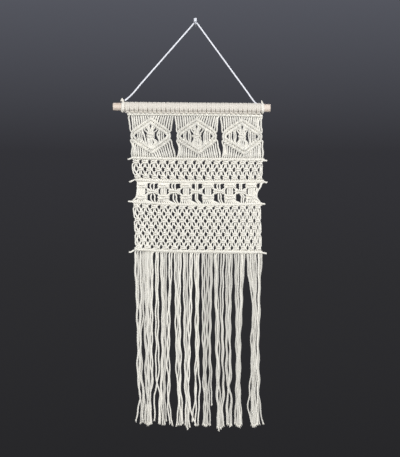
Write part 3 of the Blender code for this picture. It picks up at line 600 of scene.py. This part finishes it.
def new_material(name):
    material = bpy.data.materials.new(name)
    material.use_nodes = True
    tree = material.node_tree
    return material, tree, tree.nodes["Principled BSDF"]


def node(tree, kind, **settings):
    """A new node with values for its sockets or for its own settings."""
    made = tree.nodes.new(kind)
    for key, value in settings.items():
        if key in made.inputs:
            made.inputs[key].default_value = value
        else:
            setattr(made, key, value)
    return made


def coordinates(tree, kind="Object"):
    return node(tree, "ShaderNodeTexCoord").outputs[kind]


def attribute(tree, name):
    return node(tree, "ShaderNodeAttribute", attribute_name=name).outputs["Fac"]


def laid_out(tree, vector, **settings):
    """A vector moved or stretched."""
    made = node(tree, "ShaderNodeMapping", **settings)
    tree.links.new(vector, made.inputs["Vector"])
    return made.outputs["Vector"]


def noise(tree, vector, scale, detail, roughness=0.5):
    made = node(tree, "ShaderNodeTexNoise", Scale=scale, Detail=detail, Roughness=roughness)
    tree.links.new(vector, made.inputs["Vector"])
    return made.outputs["Fac"]


def ranged(tree, source, side, low, high):
    """A value mapped from 0 to 1 to a range ("To"), or from a range to 0 to 1 ("From")."""
    made = node(tree, "ShaderNodeMapRange", **{side + " Min": low, side + " Max": high})
    tree.links.new(source, made.inputs["Value"])
    return made.outputs["Result"]


def ramp(tree, source, stops):
    """A colour ramp through stops of (place, colour)."""
    made = tree.nodes.new("ShaderNodeValToRGB")
    band = made.color_ramp
    while len(band.elements) > 1:
        band.elements.remove(band.elements[-1])
    band.elements[0].position, band.elements[0].color = stops[0][0], (*stops[0][1], 1.0)
    for place, colour in stops[1:]:
        band.elements.new(place).color = (*colour, 1.0)
    tree.links.new(source, made.inputs["Fac"])
    return made.outputs["Color"]


def mixed(tree, share, one, other, kind="MIX"):
    """Two colours mixed by a share, each a socket or a value."""
    made = tree.nodes.new("ShaderNodeMix")
    made.data_type = "RGBA"
    made.blend_type = kind
    for socket, value in ((made.inputs[0], share), (made.inputs[6], one), (made.inputs[7], other)):
        if isinstance(value, float):
            socket.default_value = value
        elif isinstance(value, tuple):
            socket.default_value = (*value, 1.0)
        else:
            tree.links.new(value, socket)
    return made.outputs[2]


def finish_surface(tree, shader, colour, rough, height, strength, distance):
    """Gives the shader its colour, its roughness and a bump."""
    tree.links.new(colour, shader.inputs["Base Color"])
    tree.links.new(rough, shader.inputs["Roughness"])
    bump = node(tree, "ShaderNodeBump", Strength=strength, Distance=distance)
    tree.links.new(height, bump.inputs["Height"])
    tree.links.new(bump.outputs["Normal"], shader.inputs["Normal"])


def cotton(name, kind, strands=EVEN):
    """Twisted cotton: yarns that catch the light, painted shade that darkens the grooves between
    the plies, and fine loose fibres.
    """
    light, warm, shadow, sheen_tint = kind
    material, tree, shader = new_material(name)
    tint = attribute(tree, "tint")
    along = node(tree, "ShaderNodeUVMap", uv_map="cord").outputs["UV"]
    fibres = noise(tree, laid_out(tree, along, Scale=(3.2, 0.35, 1.0)), 1.0, 3.0, 0.65)
    hue = mixed(tree, noise(tree, coordinates(tree), 26.0, 2.0), light, warm)
    warmth = ramp(tree, tint, ((0.0, grey(0.0)), (1.0, grey(0.35))))
    hue = mixed(tree, warmth, hue, warm)
    # The ply ramp is painted shade: it darkens the colour in the grooves between the plies, where
    # shade falls
    for source, stops in ((attribute(tree, "ply"), ((0.0, shadow), (0.45, WHITE))),
                          (tint, strands), (fibres, ((0.3, grey(0.91)), (0.62, WHITE)))):
        hue = mixed(tree, 1.0, hue, ramp(tree, source, stops), "MULTIPLY")
    rough = ranged(tree, fibres, "To", 0.86, 0.98)
    finish_surface(tree, shader, hue, rough, fibres, 0.35, 0.3 * MM)
    shader.inputs["Specular IOR Level"].default_value = 0.2
    shader.inputs["Sheen Weight"].default_value = 0.25
    shader.inputs["Sheen Roughness"].default_value = 0.5
    shader.inputs["Sheen Tint"].default_value = (*sheen_tint, 1.0)
    return material


def wood():
    """Pale rod with grain along it and rings on its ends."""
    material, tree, shader = new_material("pale_wood")
    place = coordinates(tree)
    heart = laid_out(tree, place, Location=(0.0, -(DOWEL_Y + 3.0) * MM, -(DOWEL_Z - 2.0) * MM))
    rings = node(tree, "ShaderNodeTexWave", wave_type="RINGS", rings_direction="X",
                 wave_profile="SAW", Scale=150.0, Distortion=2.2, Detail=2.0,
                 **{"Detail Scale": 0.6})
    tree.links.new(heart, rings.inputs["Vector"])
    pores = noise(tree, laid_out(tree, place, Scale=(30.0, 1400.0, 1400.0)), 1.0, 4.0, 0.6)
    grain = ramp(tree, rings.outputs["Fac"], ((0.0, (0.72, 0.63, 0.55)), (0.6, (0.67, 0.57, 0.48)),
                                              (1.0, (0.58, 0.47, 0.38))))
    streaks = ramp(tree, pores, ((0.35, grey(0.80)), (0.55, WHITE)))
    hue = mixed(tree, 1.0, grain, streaks, "MULTIPLY")
    finish_surface(tree, shader, hue, ranged(tree, pores, "To", 0.48, 0.68), pores, 0.35, 0.3 * MM)
    return material


def paint():
    """White enamel on the hook, a little uneven, set to a grey-blue darker than white as painted
    shade, and near black at its foot by the wall as painted shadow.
    """
    material, tree, shader = new_material("white_paint")
    place = coordinates(tree)
    wear = noise(tree, place, 260.0, 4.0, 0.7)
    # The enamel's grey-blue colours, darker than white, are painted shade. The noise between them
    # is real unevenness
    hue = ramp(tree, wear, ((0.30, (0.50, 0.51, 0.54)), (0.42, (0.64, 0.66, 0.72)),
                            (0.8, (0.69, 0.71, 0.77))))
    split = node(tree, "ShaderNodeSeparateXYZ")
    tree.links.new(place, split.inputs["Vector"])
    # Painted shadow: the hook's foot by the wall is made near black
    foot_shadow = ranged(tree, split.outputs["Y"], "From", -4.5 * MM, -2.5 * MM)
    hue = mixed(tree, foot_shadow, hue, (0.045, 0.045, 0.050))
    orange_peel = noise(tree, place, 900.0, 2.0)
    finish_surface(tree, shader, hue, ranged(tree, wear, "To", 0.25, 0.5), orange_peel, 0.2,
                   0.1 * MM)
    return material


# ---------------------------------------------------------------- hanging cord and ties

def knot_centre(tie):
    _, _, knot_x, reach, turn, _ = tie
    back = math.radians(turn)
    return Vector((knot_x, DOWEL_Y + reach * math.sin(back),
                   dowel_z(knot_x) + reach * math.cos(back)))


def cord_end(tie, neighbour):
    """Where the hanging cord stops, just clear of a tie's knot, as it comes from a neighbour."""
    centre = knot_centre(tie)
    return centre + (Vector(neighbour) - centre).normalized() * (KNOT_RADIUS + 2 * GAP)


def hanger_route():
    """Straight from the left tie over the hook to the back of the heading and the right tie."""
    over = SHANK_AT_CORD + SHANK_RADIUS + GAP + HANGER / 2 + 0.2
    route = [
        (-136.1, -12.8, -149.9), (-110.0, -11.6, -119.9), (-84.0, -10.4, -90.1),
        (-42.0, -8.4, -42.0), (-12.0, HANGER_Y, -7.6), (-5.5, HANGER_Y, -0.1),
        (-2.7, HANGER_Y, over - 0.9), (0.4, HANGER_Y, over), (3.5, HANGER_Y, over - 0.9),
        (6.3, HANGER_Y, -0.1), (12.0, HANGER_Y, -7.9), (40.0, -7.2, -46.3), (78.0, -7.6, -98.5),
        (108.0, -8.0, -139.6), (121.8, -7.2, -158.6), (126.0, -5.6, -163.0),
        (130.6, -4.9, -164.6)]
    return [tuple(cord_end(TIES["cord_tie_left"], route[0])), *route,
            tuple(cord_end(TIES["cord_tie_right"], route[-1]))]


def add_hanging_cord(material):
    weave = Weave(sides=12)
    line = weave.cord([(*point, HANGER / 2) for point in hanger_route()], on_cloth=False)
    thing = weave.piece("hanging_cord_twisted", "hanging_cord", material)


def add_tie(name, tie, material):
    """Turns round the dowel, an overhand knot and its short frayed end."""
    middle, width, _, _, _, fray_x = tie
    weave = Weave(sides=9)
    side = math.copysign(1.0, middle)
    centre = knot_centre(tie)
    end = Vector(hanger_route()[0 if side < 0 else -1])
    wound = [(*end, HANGER / 2), (*(0.3 * end + 0.7 * centre), HANGER / 2),
             (centre.x, centre.y, centre.z - 0.8, 1.4)]
    reach = DOWEL_RADIUS + GAP + TURN_LIFT
    turns = width / TURN_SPACING
    for step in range(int(turns * TURN_STEPS) + 1):
        share = step / (turns * TURN_STEPS)
        turn = math.radians(TURN_START) - 2 * math.pi * turns * share
        x = middle + side * (share - 0.5) * (width - TURN_SPACING)
        wound.append((x, DOWEL_Y - reach * math.cos(turn), dowel_z(x) + reach * math.sin(turn),
                      TURN_RADIUS))
    foot_x = middle + side * (width / 2 - 1.9)
    for inwards, depth, drop, radius in TURN_END:
        wound.append((foot_x - side * inwards, DOWEL_Y + depth, dowel_z(foot_x) - drop, radius))
    weave.cord(wound, on_cloth=False)
    loop = []
    for step in range(TREFOIL_STEPS + 1):
        turn = 2 * math.pi * step / TREFOIL_STEPS
        loop.append((centre.x + TREFOIL * (math.sin(turn) + 2 * math.sin(2 * turn)),
                     centre.y - 0.9 * math.sin(3 * turn),
                     centre.z + TREFOIL * (math.cos(turn) - 2 * math.cos(2 * turn)), 1.05))
    weave.cord(loop, on_cloth=False)
    weave.press_on_dowel()
    for yarn in range(FRAY_YARNS):
        share = yarn / (FRAY_YARNS - 1)
        tip = (fray_x + side * FRAY_WIDTH * share, centre.y + CHANCE.uniform(-1.2, 1.0),
               centre.z + FRAY_HEIGHT - (FRAY_HEIGHT - FRAY_LOW) * share ** 1.3)
        bend = [0.5 * (start + stop) for start, stop in zip(centre, tip)]
        bend[0] -= side * 0.5 * (1.0 - share)
        weave.cord([(*centre, 0.95), (*bend, 0.9), (*tip, 0.4)], on_cloth=False)
    weave.piece(name + "_wound", name, material)


# ---------------------------------------------------------------- heading and bars

def add_heading(material):
    """Thirty cords folded over the dowel, each in a lark's head knot."""
    weave = Weave(sides=10)
    pitch = (HEADING_RIGHT - HEADING_LEFT) / LARKS_HEADS

    def spot(x, degrees, lift, radius):
        """A point over the dowel's skin."""
        turn, reach = math.radians(degrees), DOWEL_RADIUS + GAP + WRAP_LIFT + lift
        return x, DOWEL_Y - reach * math.sin(turn), dowel_z(x) - reach * math.cos(turn), radius

    for head in range(LARKS_HEADS):
        middle = HEADING_LEFT + (head + 0.5) * pitch + CHANCE.uniform(-0.25, 0.25)
        halves = []
        for side in (-1, 1):
            x, depth, z = enters("top_bar", 2 * head + (side + 1) // 2)
            uneven, slack = CHANCE.uniform(-0.08, 0.08), CHANCE.uniform(0.0, 0.8)
            halves.append([(x, depth + DOWEL_Y, z + 0.2, CORD / 2)] + [
                spot(middle + side * aside, turn, lift + slack * loose, radius + uneven * rough)
                for aside, turn, lift, loose, radius, rough in LARKS_HEAD])
        bight = [spot(middle, 27, 3.2, 1.7)]
        weave.cord(halves[0] + bight + halves[1][::-1], on_cloth=False)
    weave.press_on_dowel()
    thing = weave.piece("heading_knotted", "heading", material)
    return thing, weave.length, HEADING_RIGHT - HEADING_LEFT


def tail(weave, tip, root, side):
    """The thick cut end of a carrier cord, from its frayed tip to where it leaves the cloth."""
    x, z = tip
    end = (x - side * 2.6, -0.6, z, TAIL)
    weave.frayed(end[:3], (side, -0.1, 0.0), 2.8, 0.7, 0.85, 5)
    return [end, (0.5 * end[0] + 0.5 * root[0], -0.4, 0.55 * z + 0.45 * root[2], TAIL)]


def add_bar(name, material):
    """Sixty double half hitches on a carrier cord, whose cut ends stick out."""
    weave = Weave()
    pitch = bar_pitch(name)
    for strand in range(STRANDS):
        x, z = bar_strand(name, strand)
        angle = math.atan2(bar_z(name, x + 6) - bar_z(name, x - 6), 12)
        x += CHANCE.uniform(-0.15, 0.15)
        turns = hitch(x, z + CHANCE.uniform(-0.12, 0.12), angle, pitch, 1)
        into, out = enters(name, strand), leaves(name, strand)
        weave.cord([(into[0], into[1], into[2] + 1.4, SQUEEZED), *turns,
                    (out[0], out[1], out[2] - 1.4, SQUEEZED)])
    _, left_tail, right_tail = BARS[name]
    inner_left, inner_right = left_edge(bar_z(name, -130)) + 2, right_edge(bar_z(name, 130)) - 2
    line = [(x, 0.0, bar_z(name, x), 0.95) for x in np.linspace(inner_left, inner_right, 9)]
    if left_tail:
        line = tail(weave, left_tail, line[0], -1.0) + line
    if right_tail:
        line = line + tail(weave, right_tail, line[-1], 1.0)[::-1]
    weave.cord(line)
    width = right_edge(bar_z(name, 0)) - left_edge(bar_z(name, 0))
    return weave.piece(name + "_hitched", name, material), weave.length, width


# ---------------------------------------------------------------- diamond panels

def panel_side(name, side, z):
    """The left or the right edge of a panel at a height."""
    if name == "panel_left":
        return left_edge(z) if side < 0 else between(SLOTS, z, 1)
    if name == "panel_middle":
        return between(SLOTS, z, 2 if side < 0 else 3)
    return between(SLOTS, z, 4) if side < 0 else right_edge(z)


def add_panel(name, material):
    """Twenty strands: two rows of hitches, a big square knot between gaps, and two more rows."""
    centre_x, centre_z, lean_top, lean_bottom, first = DIAMONDS[name]
    weave = Weave()

    def row_point(side, level, row, share):
        """A point on a hitched row: level is 1 above the middle and -1 below it."""
        corner, reach = row
        out = reach * share
        start, drop = ROW_BEND
        bend = drop * (max(0.0, out - start) / (OUTER_ROW[1] - start)) ** 2
        lean = (lean_top if level > 0 else lean_bottom) * (1.0 - share)
        return centre_x + side * out + lean, centre_z + level * (corner - ROW_SLOPE * out - bend)

    def row_hitch(side, level, row, place):
        """One strand's hitch on a row, counted outwards from the corner."""
        share = (place + 0.5) / HITCHES
        if row is OUTER_ROW:
            share *= OUTER_ROW_SHORT
        else:
            share -= INNER_ROW_CROWDS * share * (1.0 - share)
            if level < 0:
                share **= GAPS[name, side][2]
        ahead = row_point(side, level, row, share + 0.04)
        behind = row_point(side, level, row, share - 0.04)
        along = (ahead[0] - behind[0]) * side, (ahead[1] - behind[1]) * side
        pitch = math.hypot(*along) / 0.08 / HITCHES
        return hitch(*row_point(side, level, row, share), math.atan2(along[1], along[0]), pitch,
                     -level * side, DIAGONAL_RISE, DIAGONAL_DEPTH, DIAGONAL_WRAP)

    def carrier(side, level, row, stops):
        """A row's carrier cord, under its hitches."""
        points = [row_point(side, level, row, stop) for stop in stops]
        return [(x, 0.0, z, CARRIER) for x, z in points]

    def side_turn(side, turn):
        """Where a carrier turns back at a side corner."""
        return [(centre_x + side * out, depth, centre_z + height, radius)
                for height, out, depth, radius in turn]

    def to_corner(side, level, end):
        """The outer carrier between its end at a bar and the diamond's upper or lower corner."""
        corner_x, _ = row_point(side, level, OUTER_ROW, 0.0)
        return 0.6 * end[0] + 0.4 * corner_x, 0.3, end[2] - level * 3.0, SQUEEZED

    def fan(side, place, start, stop, stops, wave):
        """A strand between a bar and the diamond, held inside the panel's outline."""
        room = FULL + (9 - place) * EDGE_SPACING
        if place < 9 and (name, side) == ("panel_right", 1):
            room += LAST_STRAND_APART
        points = []
        for share, radius in stops:
            x, z = (start[i] + (stop[i] - start[i]) * share for i in (0, 2))
            edge = panel_side(name, side, z) - side * room
            if place == 9 or side * x > side * edge:
                x = edge
            points.append((x + wave, wave, z, radius))
        return points

    def inside(side, place, wave):
        """A strand inside the outer rows: the inner rows' carrier, or one hitched on both."""
        if place == 1:
            return [*carrier(side, 1, INNER_ROW, INNER_STOPS), *row_hitch(side, 1, INNER_ROW, 8),
                    *side_turn(side, INNER_TURN), *row_hitch(side, -1, INNER_ROW, 8),
                    *carrier(side, -1, INNER_ROW, INNER_STOPS[::-1])]
        number = place - 2
        above = row_hitch(side, 1, INNER_ROW, number)
        below = row_hitch(side, -1, INNER_ROW, number)
        gap, hang, _ = GAPS[name, side]
        if number < 4:
            middle = centre_strand(centre_x, centre_z, side, number, gap)
        elif number == 4:
            middle = [(centre_x + side * (out + clear), wave, centre_z + height, SLACK)
                      for out, clear, height in zip(gap, (2.1, 3.5, 2.2), GAP_HEIGHTS)]
        else:
            middle = []
            for share, bulge in ((0.25, 0.8), (0.5, 1.0), (0.75, 0.75)):
                x, z = (above[-1][i] + (below[0][i] - above[-1][i]) * share for i in (0, 2))
                x += (centre_x + side * hang[number - 5] - x) * bulge
                middle.append((x, wave, z, TIGHT))
        return [*above, *middle, *below]

    for side in (-1, 1):
        for place in range(10):
            strand = first + (9 - place if side < 0 else 10 + place)
            top, bottom = leaves("top_bar", strand), enters("bar_a", strand)
            wave = CHANCE.uniform(-0.3, 0.3)
            if place == 0:
                route = [to_corner(side, 1, top), *carrier(side, 1, OUTER_ROW, OUTER_STOPS),
                         *side_turn(side, OUTER_TURN),
                         *carrier(side, -1, OUTER_ROW, OUTER_STOPS[::-1]),
                         to_corner(side, -1, bottom)]
            else:
                high = row_hitch(side, 1, OUTER_ROW, place - 1)
                low = row_hitch(side, -1, OUTER_ROW, place - 1)
                stops = TOP_FAN if place == 9 else TOP_FAN[1:]
                route = [*fan(side, place, top, high[0], stops, wave), *high,
                         *inside(side, place, wave), *low,
                         *fan(side, place, low[-1], bottom, BOTTOM_FAN, wave)]
            weave.cord([(*top, SQUEEZED), *route, (*bottom, SQUEEZED)])
    width = panel_side(name, 1, centre_z) - panel_side(name, -1, centre_z)
    # A panel has a third of the strands, and the length it gives back is for sixty
    return weave.piece(name + "_knotted", name, material), 3 * weave.length, width


def centre_strand(centre_x, centre_z, side, number, gap):
    """One of the eight strands that meet in the diamond's centre knot and run down its trunk."""
    knot_z = centre_z + 0.5
    low_z = centre_z + GAP_HEIGHTS[2]
    upper, waist, lower = gap
    trunk_half = lower - TRUNK_INSET
    if number == 3:
        knot = square_knot((centre_x, knot_z), waist - 3.9, *CENTRE_KNOT, side, SLACK)
        return [(centre_x + side * (upper - 1.9), 0.0, centre_z + GAP_HEIGHTS[0], TIGHT),
                (centre_x + side * (0.5 * (upper + waist) - 3.4), 0.0, centre_z + 8.5, TIGHT),
                *knot, (centre_x + side * trunk_half, 0.3, low_z, SLACK)]
    start_x, start_z, high_x, pinch, depth, trunk = CENTRE_STRANDS[number]
    return [(centre_x + side * x, depth * share, z, radius) for x, share, z, radius in (
        (start_x, 0.2, centre_z + start_z, TIGHT), (high_x, 0.5, centre_z + 14.5, TIGHT),
        (pinch * 1.1, 1.0, knot_z + 6.5, TIGHT), (pinch, 1.0, knot_z, TIGHT),
        (pinch * 1.15, 1.0, knot_z - 6.5, SLACK), (trunk * trunk_half, 0.8, low_z, SLACK))]


# ---------------------------------------------------------------- nets and band

def add_net(name, rows, above, below, material):
    """Alternating rows of square knots over two fillers each."""
    weave = Weave()
    top_middle, low_middle = BARS[above][0][2], BARS[below][0][2]
    spacing = (rows[0] - rows[-1]) / (len(rows) - 1)

    def row_height(z, x):
        """Height of a row at x, where it follows the sag of the bars."""
        share = (top_middle - z) / (top_middle - low_middle)
        sag = (bar_z(above, x) - top_middle) * (1 - share) + (bar_z(below, x) - low_middle) * share
        return z + NET_FOLLOWS * sag

    def passes(strand, z):
        """One of the two strands at each side that pass a row beside its knots."""
        inset, apart = NET_EDGE
        x = (left_edge(z) + inset + apart * strand if strand < 2
             else right_edge(z) - inset - apart * (STRANDS - 1 - strand))
        return [(x, 0.0, row_height(z, x), SLACK)]

    def knotted(strand, number, falls):
        """A strand's way through its knot in a row, and if it falls, down to the next row."""
        group, role = divmod(strand - 2 * (number % 2), 4)
        x, level, pitch = knots[number, group]
        close = TIGHTER * float(np.interp(-x, *CLOSING_X) * np.interp(-level, *CLOSING_Z))
        side = -1 if role < 2 else 1
        if role in (0, 3):
            half, radius = NET_KNOT * spacing, TIGHT + close
            points = square_knot((x, level), NET_REACH * pitch, half, NET_DEPTH, side, radius)
            for end, way in ((0, 1), (-1, -1)):
                points[end] = (x + side * (NET_REACH * pitch + ENTRY_OUT), 0.0,
                               level + way * ENTRY_UP * half, radius)
            fall = [(1.0 - share, 2 * pitch - aside) for share, aside in NET_FALL[::-1]]
        else:
            points = [(x + (role - 1.5) * apart, 0.0, level + share * spacing, radius + close)
                      for share, apart, radius in NET_LANE]
            fall = NET_FALL
        if falls:
            points += [(x + side * aside, 0.0, level - share * spacing, NET_FALL_RADIUS + close)
                       for share, aside in fall]
        return points

    knots = {}
    for number, z in enumerate(rows):
        for group in range(15 - number % 2):
            place = 4 * group + 2 + 2 * (number % 2)
            x = strand_x(place, z) + CHANCE.uniform(-0.35, 0.35)
            pitch = (strand_x(place + 2, z) - strand_x(place - 2, z)) / 4
            knots[number, group] = (x, row_height(z, x) + CHANCE.uniform(-0.3, 0.3), pitch)
    clear = BAR_HALF_HEIGHT + BAR_MARGIN
    for strand in range(STRANDS):
        inner = 2 <= strand < STRANDS - 2
        route = []
        for number, z in enumerate(rows):
            if number % 2 and not inner:
                route += passes(strand, z)
            else:
                route += knotted(strand, number, inner and number < len(rows) - 1)
        route = [point for point in route if bar_z(below, point[0]) + clear < point[2]
                 < bar_z(above, point[0]) - clear]
        weave.cord([(*leaves(above, strand), SQUEEZED), *route, (*enters(below, strand), SQUEEZED)])
    width = right_edge(rows[1]) - left_edge(rows[1])
    return weave.piece(name + "_knotted", name, material), weave.length, width


def band_middle(strand, z):
    """A strand in the band's middle row: in a knot over four fillers, or in a bundle beside it."""
    group = (strand - 3) // 10
    member = strand - 10 * group - 7
    if 0 <= group < 5 and 0 <= member < 6:
        x = BAND_GROUPS[group]
        if member in (0, 5):
            return square_knot((x, z), BAND_GROUP_HALF - 1.6, BAND_TALL[1], BAND_DEPTH,
                               -1 if member == 0 else 1, SQUEEZED)
        return [(x + (member - 2.5) * 3.7, 0.0, z + step, TIGHT) for step in (3.4, -3.4)]
    if strand < 7:
        left, right = left_edge(z) + 1.6, BAND_GROUPS[0] - BAND_GROUP_HALF - 4.4
        x = left + (right - left) * strand / 6
    elif strand > 52:
        left, right = BAND_GROUPS[4] + BAND_GROUP_HALF + 4.4, right_edge(z) - 1.6
        x = left + (right - left) * (strand - 53) / 6
    else:
        bundle, place = divmod(strand - 3, 10)
        x = BAND_KNOTS[bundle] + (place - 1.5) * 3.6
    return [(x, CHANCE.uniform(-0.5, 0.5), z, CORD / 2)]


def band_row(strand, row):
    """A strand in the first or the last row: at the edge, loose, or in a knot over six fillers."""
    z, tall = BAND_ROWS[row], BAND_TALL[row]
    tens, ones = divmod(strand, 10)
    if strand == 0:
        return [(left_edge(z) + 2.0, 0.0, z, 2.0)]
    if strand == STRANDS - 1:
        root_x = leaves("bar_b", strand)[0]
        slack = [(0.5 * root_x + 0.5 * right_edge(z) - 3.2, 0.0, z + 4.6, 2.7)] if row == 0 else []
        return [*slack, (right_edge(z) - 2.2, 0.0, z, 2.2)]
    if ones in (9, 0):
        group, side = (strand - 9) // 10, -1 if ones == 9 else 1
        aside = BAND_LOOSE[group][row // 2][0 if side < 0 else 1]
        return [(BAND_GROUPS[group] + share * aside + (1 - share) * side * 2.0, 0.0, z + rise, 1.55)
                for rise, share in ((3.9, 0.6), (0.0, 1.0), (-3.9, 0.75))]
    x, half = BAND_KNOTS[tens], BAND_KNOT_HALF[tens]
    if ones in (1, 8):
        knot = square_knot((x, z), half - 1.9, tall, BAND_DEPTH, -1 if ones == 1 else 1, SQUEEZED)
        if strand == STRANDS - 2 and row == 0:
            knot.append((right_edge(z - 5.5) - 6.3, 0.0, z - 5.5, 2.1))
        return knot
    lane = x + (ones - 4.5) * (2 * half - 5.0) / 6.4
    return [(lane, 0.0, z + step * tall, SQUEEZED) for step in (0.9, -0.9)]


def add_openwork_band(material):
    """Wide square knots over six and four fillers, with loose strands between them."""
    weave = Weave()
    for strand in range(STRANDS):
        weave.cord([(*leaves("bar_b", strand), SQUEEZED), *band_row(strand, 0),
                    *band_middle(strand, BAND_ROWS[1]), *band_row(strand, 2),
                    (*enters("bar_c", strand), SQUEEZED)])
    width = right_edge(BAND_ROWS[1]) - left_edge(BAND_ROWS[1])
    thing = weave.piece("openwork_band_knotted", "openwork_band", material)
    return thing, weave.length, width


# ---------------------------------------------------------------- fringe

def within(value):
    return min(1.0, max(0.0, value))


def layer(place):
    """Every other strand of a lock hangs behind, the others in front."""
    return 1 if place % 2 else -1


def lock_point(rows, count, place, tip, root_x, phase, z):
    """A strand of a lock at a height, in the room between the lock's two sides."""
    left, right = between(rows, z, 1), between(rows, z, 2)
    fallen = rows[0][0] - z
    loose = min(1.0, fallen / LOOSENS)
    share = 0.5
    if count > 1:
        wander = math.sin(z / WANDERS[0] + phase[0]) * math.sin(z / WANDERS[1] + phase[1])
        share = within(place / (count - 1) + (0.15 + 0.3 * loose) / count * wander)
    x = (left + right) / 2 + max(0.0, right - left - CORD) * (share - 0.5)
    x += (0.5 + 0.45 * loose) * math.sin(z / WAVES[0] + phase[2])
    x += (0.35 + 0.45 * loose) * math.sin(z / WAVES[1] + phase[1])
    x += (tip[0] - x) * max(0.0, 1.0 - (z - tip[1]) / SPLAY_HEIGHT) ** 1.6
    squeeze = within(1.25 - (right - left) / (count * CORD))
    depth = layer(place) * 1.5 * squeeze + 0.7 * math.sin(z / DEPTH_WAVE + phase[3])
    fluff = FLUFF[0] * math.exp(-fallen / FLUFF[1])
    fuller = within((LEFT_FLUFF_X[0] - root_x) / LEFT_FLUFF_X[1])
    fluff += LEFT_FLUFF[0] * fuller * math.exp(-fallen / LEFT_FLUFF[1])
    return x, depth * min(1.0, 0.3 + fallen / 40.0), z, FRINGE + fluff


def add_fringe(material):
    """Sixty loose strands in wavy locks, each with a frayed tip."""
    weave = Weave()
    strand = 0
    for rows, tips in LOCKS:
        top, left, right = rows[0]
        count = len(tips)
        for place, tip in enumerate(tips):
            root = leaves("bar_d", strand)
            phase = CHANCE.uniform(0, 2 * math.pi, 4)
            first_x = (left + right) / 2
            if count > 1:
                first_x += (place / (count - 1) - 0.5) * (right - left - CORD)
            route = [(root[0], 1.5, root[2] + 2.0, 1.3),
                     (root[0] + 0.85 * (first_x - root[0]), 0.9, root[2] - 1.4, SQUEEZED)]
            z = top
            while z > tip[1] + 12.0:
                route.append(lock_point(rows, count, place, tip, root[0], phase, z))
                z -= LOCK_STEP
            before, end = route[-1], (tip[0], layer(place) * 0.8, tip[1] + CUT, FRINGE)
            weave.cord([*route, end])
            weave.frayed(end[:3], (end[0] - before[0], 0.0, end[2] - before[2]), CUT, 1.1, 0.72, 3)
            strand += 1
    width = right_edge(-480.0) - left_edge(-480.0)
    return weave.piece("fringe_strands", "fringe", material), weave.length, width


# ---------------------------------------------------------------- stage

# Lights: place, what it points at, its sides' length, its power and its colour
LIGHTS = {
    "key": ((-0.5, -2.3, 1.4), (0.0, 0.0, -0.36), 1.5, 34.0, (1.0, 0.985, 0.96)),
    "fill": ((0.5, -2.5, 0.25), (0.0, 0.0, -0.30), 1.8, 64.0, (0.97, 0.98, 1.0)),
    "back": ((0.6, 2.0, 0.7), (0.0, 0.0, -0.42), 1.6, 44.0, (1.0, 1.0, 1.0)),
}
# Backdrop, from its lower to its upper part
BACKDROP = ((0.0, (0.020, 0.020, 0.022)), (0.40, (0.027, 0.027, 0.030)),
            (0.66, (0.034, 0.034, 0.040)), (1.0, (0.095, 0.099, 0.120)))
BACKDROP_RISE = 0.19              # height of a view's direction at which it's lightest


def add_floor():
    """A plain pale floor under and around the hanging, out of the main view."""
    bpy.ops.mesh.primitive_circle_add(vertices=96, radius=1.15, fill_type="NGON",
                                      location=(0.0, -0.45, -1.05))
    floor = bpy.context.active_object
    floor.name = "floor"
    material, tree, shader = new_material("pale_floor")
    colour = ramp(tree, noise(tree, coordinates(tree), 9.0, 3.0),
                  ((0.3, (0.56, 0.555, 0.54)), (0.7, (0.60, 0.595, 0.58))))
    tree.links.new(colour, shader.inputs["Base Color"])
    shader.inputs["Roughness"].default_value = 0.9
    floor.data.materials.append(material)


def add_light(name, location, target, size, power, colour):
    light = bpy.data.objects.new(name, bpy.data.lights.new(name, "AREA"))
    light.data.size = size
    light.data.energy = power
    light.data.color = colour
    light.location = location
    light.rotation_euler = (Vector(target) - Vector(location)).to_track_quat("-Z", "Y").to_euler()
    light.visible_camera = False
    bpy.context.scene.collection.objects.link(light)


def add_world():
    """A plain grey backdrop, lighter above and darker below."""
    world = bpy.data.worlds.new("backdrop")
    bpy.context.scene.world = world
    world.use_nodes = True
    tree = world.node_tree
    split = node(tree, "ShaderNodeSeparateXYZ")
    tree.links.new(coordinates(tree, "Generated"), split.inputs["Vector"])
    rise = ranged(tree, split.outputs["Z"], "From", -BACKDROP_RISE, BACKDROP_RISE)
    tree.links.new(ramp(tree, rise, BACKDROP), tree.nodes["Background"].inputs["Color"])


def main():
    add_camera()
    add_hanging_cord(cotton("cool_cotton", COOL))
    tied = cotton("tied_cotton", TIED)
    for name, tie in TIES.items():
        add_tie(name, tie, tied)
    cream = cotton("cream_cotton", CREAM)
    panels = cotton("panel_cotton", CREAM, MIXED)
    # The heading's darker cotton is painted shade
    sheets = [add_heading(cotton("wrapped_cotton_shaded", WRAPPED_SHADED))]
    sheets += [add_bar(name, cream) for name in BARS]
    sheets += [add_panel(name, panels) for name in DIAMONDS]
    sheets += [add_net("upper_net", UPPER_NET_ROWS, "bar_a", "bar_b", cream),
               add_openwork_band(cream),
               add_net("lower_net", LOWER_NET_ROWS, "bar_c", "bar_d", cream),
               add_fringe(cotton("fringe_cotton", CREAM, LOOSE_ENDS_SHADED))]
    for name, material in (("dowel", wood()), ("wall_hook", paint())):
        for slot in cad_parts[name].material_slots:
            slot.material = material
    add_floor()
    for name, light in LIGHTS.items():
        add_light(name, *light)
    add_world()
    bpy.context.scene.view_settings.view_transform = "Standard"


main()
